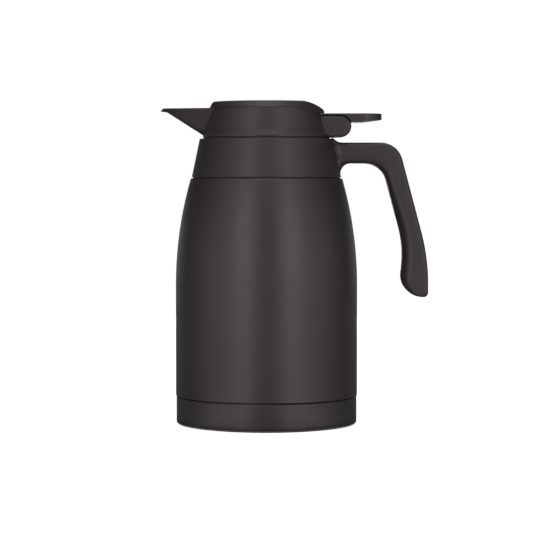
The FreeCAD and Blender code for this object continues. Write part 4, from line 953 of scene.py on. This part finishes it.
@dataclass
class LidScrews:
    """Pan-head screws with a cross recess, heads down under the dish.

    Attributes:
        seat: height of the dish's underside.
        circle: radius of the circle that the screws stand on.
        shift: place of that circle's middle along X.
        angles: places of the screws round the circle, in radians.
        twist: turn of a screw about itself, as a share of its place, so that the recesses differ.
        head_radius: radius of the head.
        head_height: height of the head.
        dome: profile of the head, as shares of its radius and height.
        shank_radius: radius of the shank.
        shank_length: length of the shank.
        shank_straight: share of the shank that comes before its point.
        recess_width: width of the recess's bars.
        recess_reach: half the length of these bars.
        recess_depth: depth of the recess.
        sides: faces round a screw.
        sharp_angle: bend from which an edge is shaded sharp, in degrees.
    """

    seat: float = 222.8 * MM
    circle: float = 22.0 * MM
    shift: float = -5.0 * MM
    angles: tuple[float, ...] = (math.pi, math.pi / 3, -math.pi / 3)
    twist: float = 0.7
    head_radius: float = 2.5 * MM
    head_height: float = 1.4 * MM
    dome: tuple[tuple[float, float], ...] = ((0.55, 1.0), (0.82, 0.86), (0.97, 0.55), (1.0, 0.2))
    shank_radius: float = 1.3 * MM
    shank_length: float = 5.4 * MM
    shank_straight: float = 0.9
    recess_width: float = 0.7 * MM
    recess_reach: float = 1.5 * MM
    recess_depth: float = 0.8 * MM
    sides: int = 40
    sharp_angle: float = 35.0

    def build(self) -> list[bpy.types.Object]:
        """Makes one screw and sets it in each place.

        Returns:
            The screws, which share one mesh.
        """
        mesh = self._screw_mesh()
        screws = []
        for index, angle in enumerate(self.angles, start=1):
            screw = link_object(f"lid_screw_{index}", mesh)
            middle = (self.shift + self.circle * math.cos(angle), self.circle * math.sin(angle), self.seat)
            screw.matrix_world = Matrix.Translation(middle) @ Matrix.Rotation(angle * self.twist, 4, "Z")
            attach(screw, Body.LID.value)
            screws.append(screw)
        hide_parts("lid_screws")
        return screws

    def _screw_mesh(self) -> bpy.types.Mesh:
        """Makes the mesh of a screw with its head down and its seat at height 0.

        Returns:
            The mesh.
        """
        profile = [(0.0, -self.head_height)]
        profile += [(self.head_radius * out, -self.head_height * down) for out, down in self.dome]
        profile += [(self.head_radius, 0.0), (self.shank_radius, 0.0)]
        profile += [(self.shank_radius, self.shank_length * self.shank_straight), (0.0, self.shank_length)]
        blank = new_piece("lid_screw_blank", lathed(profile, self.sides))
        tool = new_piece("lid_screw_recess", self._recess(), smooth=False)
        cut = blank.modifiers.new("recess", "BOOLEAN")
        cut.operation = "DIFFERENCE"
        cut.object = tool
        cut.solver = "EXACT"
        cut.use_self = True
        graph = bpy.context.evaluated_depsgraph_get()
        mesh = bpy.data.meshes.new_from_object(blank.evaluated_get(graph))
        mesh.name = "lid_screw"
        for spent in (blank, tool):
            bpy.data.objects.remove(spent)
        mesh.set_sharp_from_angle(angle=math.radians(self.sharp_angle))
        return mesh

    def _recess(self) -> bmesh.types.BMesh:
        """Makes the two crossed bars that the recess is cut with.

        Returns:
            The bars.
        """
        bars = bmesh.new()
        size = Matrix.Diagonal((2 * self.recess_reach, self.recess_width, 2 * self.recess_depth, 1.0))
        for quarter in (0.0, math.pi / 2):
            block = bmesh.ops.create_cube(bars, size=1.0)["verts"]
            place = Matrix.Translation((0.0, 0.0, -self.head_height)) @ Matrix.Rotation(quarter, 4, "Z")
            bmesh.ops.transform(bars, matrix=place @ size, verts=block)
        return bars


@dataclass
class Lid:
    """Cover, lever and seal, which swing on the hinge pin.

    Attributes:
        moulded: nodes of dark plastic on the outside.
        inner: nodes of dark plastic inside the pot.
        silicone: nodes of silicone.
        bright: nodes of bright steel.
        screws: screws under the dish.
        pieces: screws that were built.
    """

    moulded: tuple[str, ...] = ("lid_cover", "lever_frame")
    inner: tuple[str, ...] = ("seal_holder",)
    silicone: tuple[str, ...] = ("lid_seal",)
    bright: tuple[str, ...] = ("lid_screws",)
    screws: LidScrews = field(default_factory=LidScrews)
    pieces: list[bpy.types.Object] = field(default_factory=list)

    def build(self) -> None:
        """Makes the screws."""
        self.pieces = self.screws.build()
        for piece in self.pieces:
            log.info("built %s", piece.name)

    def dress(self, wardrobe: Wardrobe) -> None:
        """Gives the lid's nodes and pieces their finishes.

        Args:
            wardrobe: materials of all finishes.
        """
        wardrobe.dress_nodes(self.moulded, PLASTIC)
        wardrobe.dress_nodes(self.inner, INNER_PLASTIC)
        wardrobe.dress_nodes(self.silicone, SILICONE)
        wardrobe.dress_nodes(self.bright, BRIGHT_STEEL)
        # The screws share one mesh, so the first one's material is on all of them.
        wardrobe.dress_piece(self.pieces[0], BRIGHT_STEEL)


@dataclass(frozen=True)
class Softbox:
    """An area lamp that faces the pot.

    Attributes:
        name: name of the lamp.
        azimuth: angle round the pot from the camera's side, in degrees, positive towards the handle.
        height: height above the floor.
        distance: distance from the pot's axis.
        size: width and height of the lamp.
        power: power in watts.
        aim: height that it faces.
    """

    name: str
    azimuth: float
    height: float
    distance: float
    size: tuple[float, float]
    power: float
    aim: float = 0.12

    def build(self) -> None:
        """Makes the lamp."""
        lamp = bpy.data.lights.new(self.name, "AREA")
        lamp.shape = "RECTANGLE"
        lamp.size, lamp.size_y = self.size
        lamp.energy = self.power
        stand = link_object(self.name, lamp)
        stand.visible_camera = False
        turn = math.radians(self.azimuth)
        place = (math.sin(turn) * self.distance, -math.cos(turn) * self.distance, self.height)
        face_towards(stand, place, (0.0, 0.0, self.aim))


@dataclass(frozen=True)
class Flag:
    """Two alike grey screens outside the picture, one on each side, which only the pot's gloss shows.

    Attributes:
        name: name of the screens.
        tones: greys along the screen, each after its azimuth from the camera's side in degrees.
        low: height of the lower edge, which is the inner edge where the screen lies flat.
        high: height of the upper edge, which is the outer edge where the screen lies flat.
        inner: distance of the lower edge from the pot's axis.
        outer: distance of the upper edge from the pot's axis.
        step: greatest angle between the screen's stations, about, in degrees.
    """

    name: str
    tones: tuple[tuple[float, float], ...]
    low: float = -0.05
    high: float = 2.2
    inner: float = 2.3
    outer: float = 2.3
    step: float = 4.0

    def build(self) -> None:
        """Makes the screens."""
        shape = bmesh.new()
        shade = shape.verts.layers.float_color.new("tone")
        for side in (-1.0, 1.0):
            last: tuple[bmesh.types.BMVert, ...] = ()
            for azimuth, tone in self._stations():
                turn = math.radians(azimuth) * side
                edge = tuple(
                    shape.verts.new((math.sin(turn) * reach, -math.cos(turn) * reach, height))
                    for reach, height in ((self.inner, self.low), (self.outer, self.high))
                )
                for corner in edge:
                    corner[shade] = (tone, tone, tone, 1.0)
                if last:
                    shape.faces.new((*last, *edge[::-1]))
                last = edge
        screens = new_piece(self.name, shape)
        screens.data.materials.append(self._material())
        screens.visible_camera = False
        screens.visible_diffuse = False
        screens.visible_shadow = False

    def _stations(self) -> list[tuple[float, float]]:
        """Fills in the azimuths between the given ones.

        Returns:
            Azimuth and grey of each station.
        """
        stations = [self.tones[0]]
        for (start, first), (end, second) in zip(self.tones, self.tones[1:]):
            count = max(1, round((end - start) / self.step))
            for index in range(1, count + 1):
                part = index / count
                stations.append((start + (end - start) * part, first + (second - first) * part))
        return stations

    def _material(self) -> bpy.types.Material:
        """Makes the graded grey of the screens.

        Returns:
            The material.
        """
        made = bpy.data.materials.new(self.name)
        nodes = NodeTree.emptied(made)
        tone = nodes.add("ShaderNodeAttribute", attribute_name="tone")
        grey = nodes.add("ShaderNodeEmission", Strength=1.0)
        nodes.link(tone.outputs["Color"], grey.inputs["Color"])
        nodes.surface(grey.outputs[0])
        return made


# Height of a screen that lies flat, just above the floor.
ON_FLOOR = 0.002


@dataclass
class Studio:
    """White floor and surroundings, soft lamps and the camera.

    Attributes:
        eye: place of the camera.
        look_at: point that the camera faces.
        lens: focal length of the camera, in millimetres.
        sensor: width of the camera's sensor, in millimetres.
        floor_reach: half the width of the floor.
        floor_grey: grey of the floor under the lamps.
        floor_glow: what is added to that for the camera and for gloss.
        ambient: strength of the even light on the pot.
        lamps: soft lamps round the pot.
        flags: grey screens round the pot.
    """

    eye: Point = (0.0, -1.633, 0.1785)
    look_at: Point = (0.0, 0.0, 0.1139)
    lens: float = 153.0
    sensor: float = 36.0
    floor_reach: float = 8.0
    floor_grey: float = 0.8
    floor_glow: float = 0.92
    ambient: float = 0.17
    lamps: tuple[Softbox, ...] = (
        Softbox("softbox_left", azimuth=-28.0, height=0.2, distance=1.25, size=(0.42, 1.1), power=2.85),
        Softbox("softbox_right", azimuth=32.0, height=0.2, distance=1.25, size=(0.42, 1.1), power=2.75),
        Softbox("softbox_top", azimuth=0.0, height=1.4, distance=0.5, size=(0.9, 0.9), power=3.7),
        Softbox("softbox_back", azimuth=180.0, height=0.15, distance=1.25, size=(0.3, 0.6), power=2.0),
        Softbox("softbox_back_top", azimuth=180.0, height=1.4, distance=0.6, size=(0.9, 0.9), power=4.0),
    )
    flags: tuple[Flag, ...] = (
        Flag("flag_front", ((0.0, 0.3), (13.0, 0.3))),
        Flag(
            "flag_sides",
            ((75.0, 0.9), (95.0, 0.4), (112.0, 0.1), (128.0, 0.1), (142.0, 0.4), (172.0, 0.4)),
            high=0.34,
        ),
        Flag(
            "flag_slopes",
            ((75.0, 0.9), (95.0, 0.35), (112.0, 0.04), (172.0, 0.04)),
            low=0.34,
            high=0.62,
        ),
        Flag(
            "flag_high",
            ((40.0, 0.9), (60.0, 0.7), (85.0, 0.2), (110.0, 0.02), (172.0, 0.02)),
            low=0.62,
        ),
        Flag(
            "flag_ceiling",
            ((40.0, 1.0), (70.0, 0.8), (100.0, 0.3), (180.0, 0.3)),
            low=2.2,
            inner=0.05,
        ),
        Flag("flag_floor_front", ((0.0, 0.35), (13.0, 0.35)), low=ON_FLOOR, high=ON_FLOOR, inner=0.075),
        Flag(
            "flag_floor",
            ((15.0, 1.4), (45.0, 1.3), (60.0, 1.0), (75.0, 0.6), (100.0, 0.1), (172.0, 0.15)),
            low=ON_FLOOR,
            high=ON_FLOOR,
            inner=0.33,
        ),
        Flag(
            "flag_floor_ring",
            ((13.0, 0.5), (50.0, 0.4), (85.0, 0.1), (172.0, 0.1)),
            low=ON_FLOOR,
            high=ON_FLOOR,
            inner=0.18,
            outer=0.33,
        ),
        Flag(
            "flag_floor_near",
            ((15.0, 1.6), (45.0, 1.5), (65.0, 0.4), (85.0, 0.12), (172.0, 0.15)),
            low=ON_FLOOR,
            high=ON_FLOOR,
            inner=0.075,
            outer=0.18,
        ),
        # A dark ring on the floor round the foot that only the gloss sees: painted shade, standing in for the
        # floor's shadow next to the foot.
        Flag(
            "flag_floor_foot",
            ((0.0, 0.06), (180.0, 0.06)),
            low=ON_FLOOR,
            high=ON_FLOOR,
            inner=0.05,
            outer=0.075,
        ),
    )

    def build(self) -> None:
        """Makes floor, world, lamps, flags and camera."""
        self._floor()
        self._world()
        for part in (*self.lamps, *self.flags):
            part.build()
        self._camera()
        bpy.context.scene.view_settings.view_transform = "Standard"

    def _choose_by_sight(self, nodes: NodeTree, unseen: Socket, seen: Socket) -> Socket:
        """Picks a shader by whether a ray comes from the camera, from gloss or through glass.

        Args:
            nodes: tree of a material or a world.
            unseen: shader for the other rays, which light the pot.
            seen: shader for rays that show what they meet.

        Returns:
            The chosen shader.
        """
        path = nodes.add("ShaderNodeLightPath")
        camera_or_gloss = nodes.math("ADD", path.outputs["Is Camera Ray"], path.outputs["Is Glossy Ray"])
        direct = nodes.math("ADD", camera_or_gloss, path.outputs["Is Transmission Ray"], clamp=True)
        choose = nodes.add("ShaderNodeMixShader")
        for place, source in enumerate((direct, unseen, seen)):
            nodes.link(source, choose.inputs[place])
        return choose.outputs[0]

    def _floor(self) -> None:
        """Makes a white floor that shows a soft shadow where the pot stands."""
        shape = bmesh.new()
        bmesh.ops.create_grid(shape, x_segments=1, y_segments=1, size=self.floor_reach)
        floor = new_piece("studio_floor", shape, smooth=False)
        made = bpy.data.materials.new("studio_floor")
        nodes = NodeTree.emptied(made)
        grey = (self.floor_grey, self.floor_grey, self.floor_grey, 1.0)
        matte = nodes.add("ShaderNodeBsdfDiffuse", Color=grey).outputs[0]
        glow = nodes.add("ShaderNodeEmission", Color=WHITE, Strength=self.floor_glow).outputs[0]
        both = nodes.add("ShaderNodeAddShader")
        nodes.link(matte, both.inputs[0])
        nodes.link(glow, both.inputs[1])
        nodes.surface(self._choose_by_sight(nodes, matte, both.outputs[0]))
        floor.data.materials.append(made)

    def _world(self) -> None:
        """Makes surroundings that look white and light the pot with a dimmer even light."""
        world = bpy.data.worlds.new("studio")
        nodes = NodeTree.emptied(world)
        seen = nodes.add("ShaderNodeBackground", Color=WHITE, Strength=1.0).outputs[0]
        light = nodes.add("ShaderNodeBackground", Color=WHITE, Strength=self.ambient).outputs[0]
        nodes.surface(self._choose_by_sight(nodes, light, seen), "ShaderNodeOutputWorld")
        bpy.context.scene.world = world

    def _camera(self) -> None:
        """Makes the camera at the photograph's viewing angle."""
        camera = bpy.data.cameras.new("camera")
        camera.lens = self.lens
        camera.sensor_width = self.sensor
        stand = link_object("camera", camera)
        face_towards(stand, self.eye, self.look_at)
        bpy.context.scene.camera = stand


def clear_scene() -> None:
    """Removes what a new file starts with."""
    for item in list(bpy.data.objects):
        bpy.data.objects.remove(item)


def main() -> None:
    """Loads the frame, builds and dresses every sub-assembly, and sets up the studio."""
    logging.basicConfig(level=logging.INFO, format="%(name)s: %(message)s")
    clear_scene()
    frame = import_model()
    wardrobe = Wardrobe(frame["nodes"])
    for assembly in (Vessel(), Stopper(), Lid()):
        assembly.build()
        assembly.dress(wardrobe)
    Studio().build()


if __name__ == "__main__":
    main()
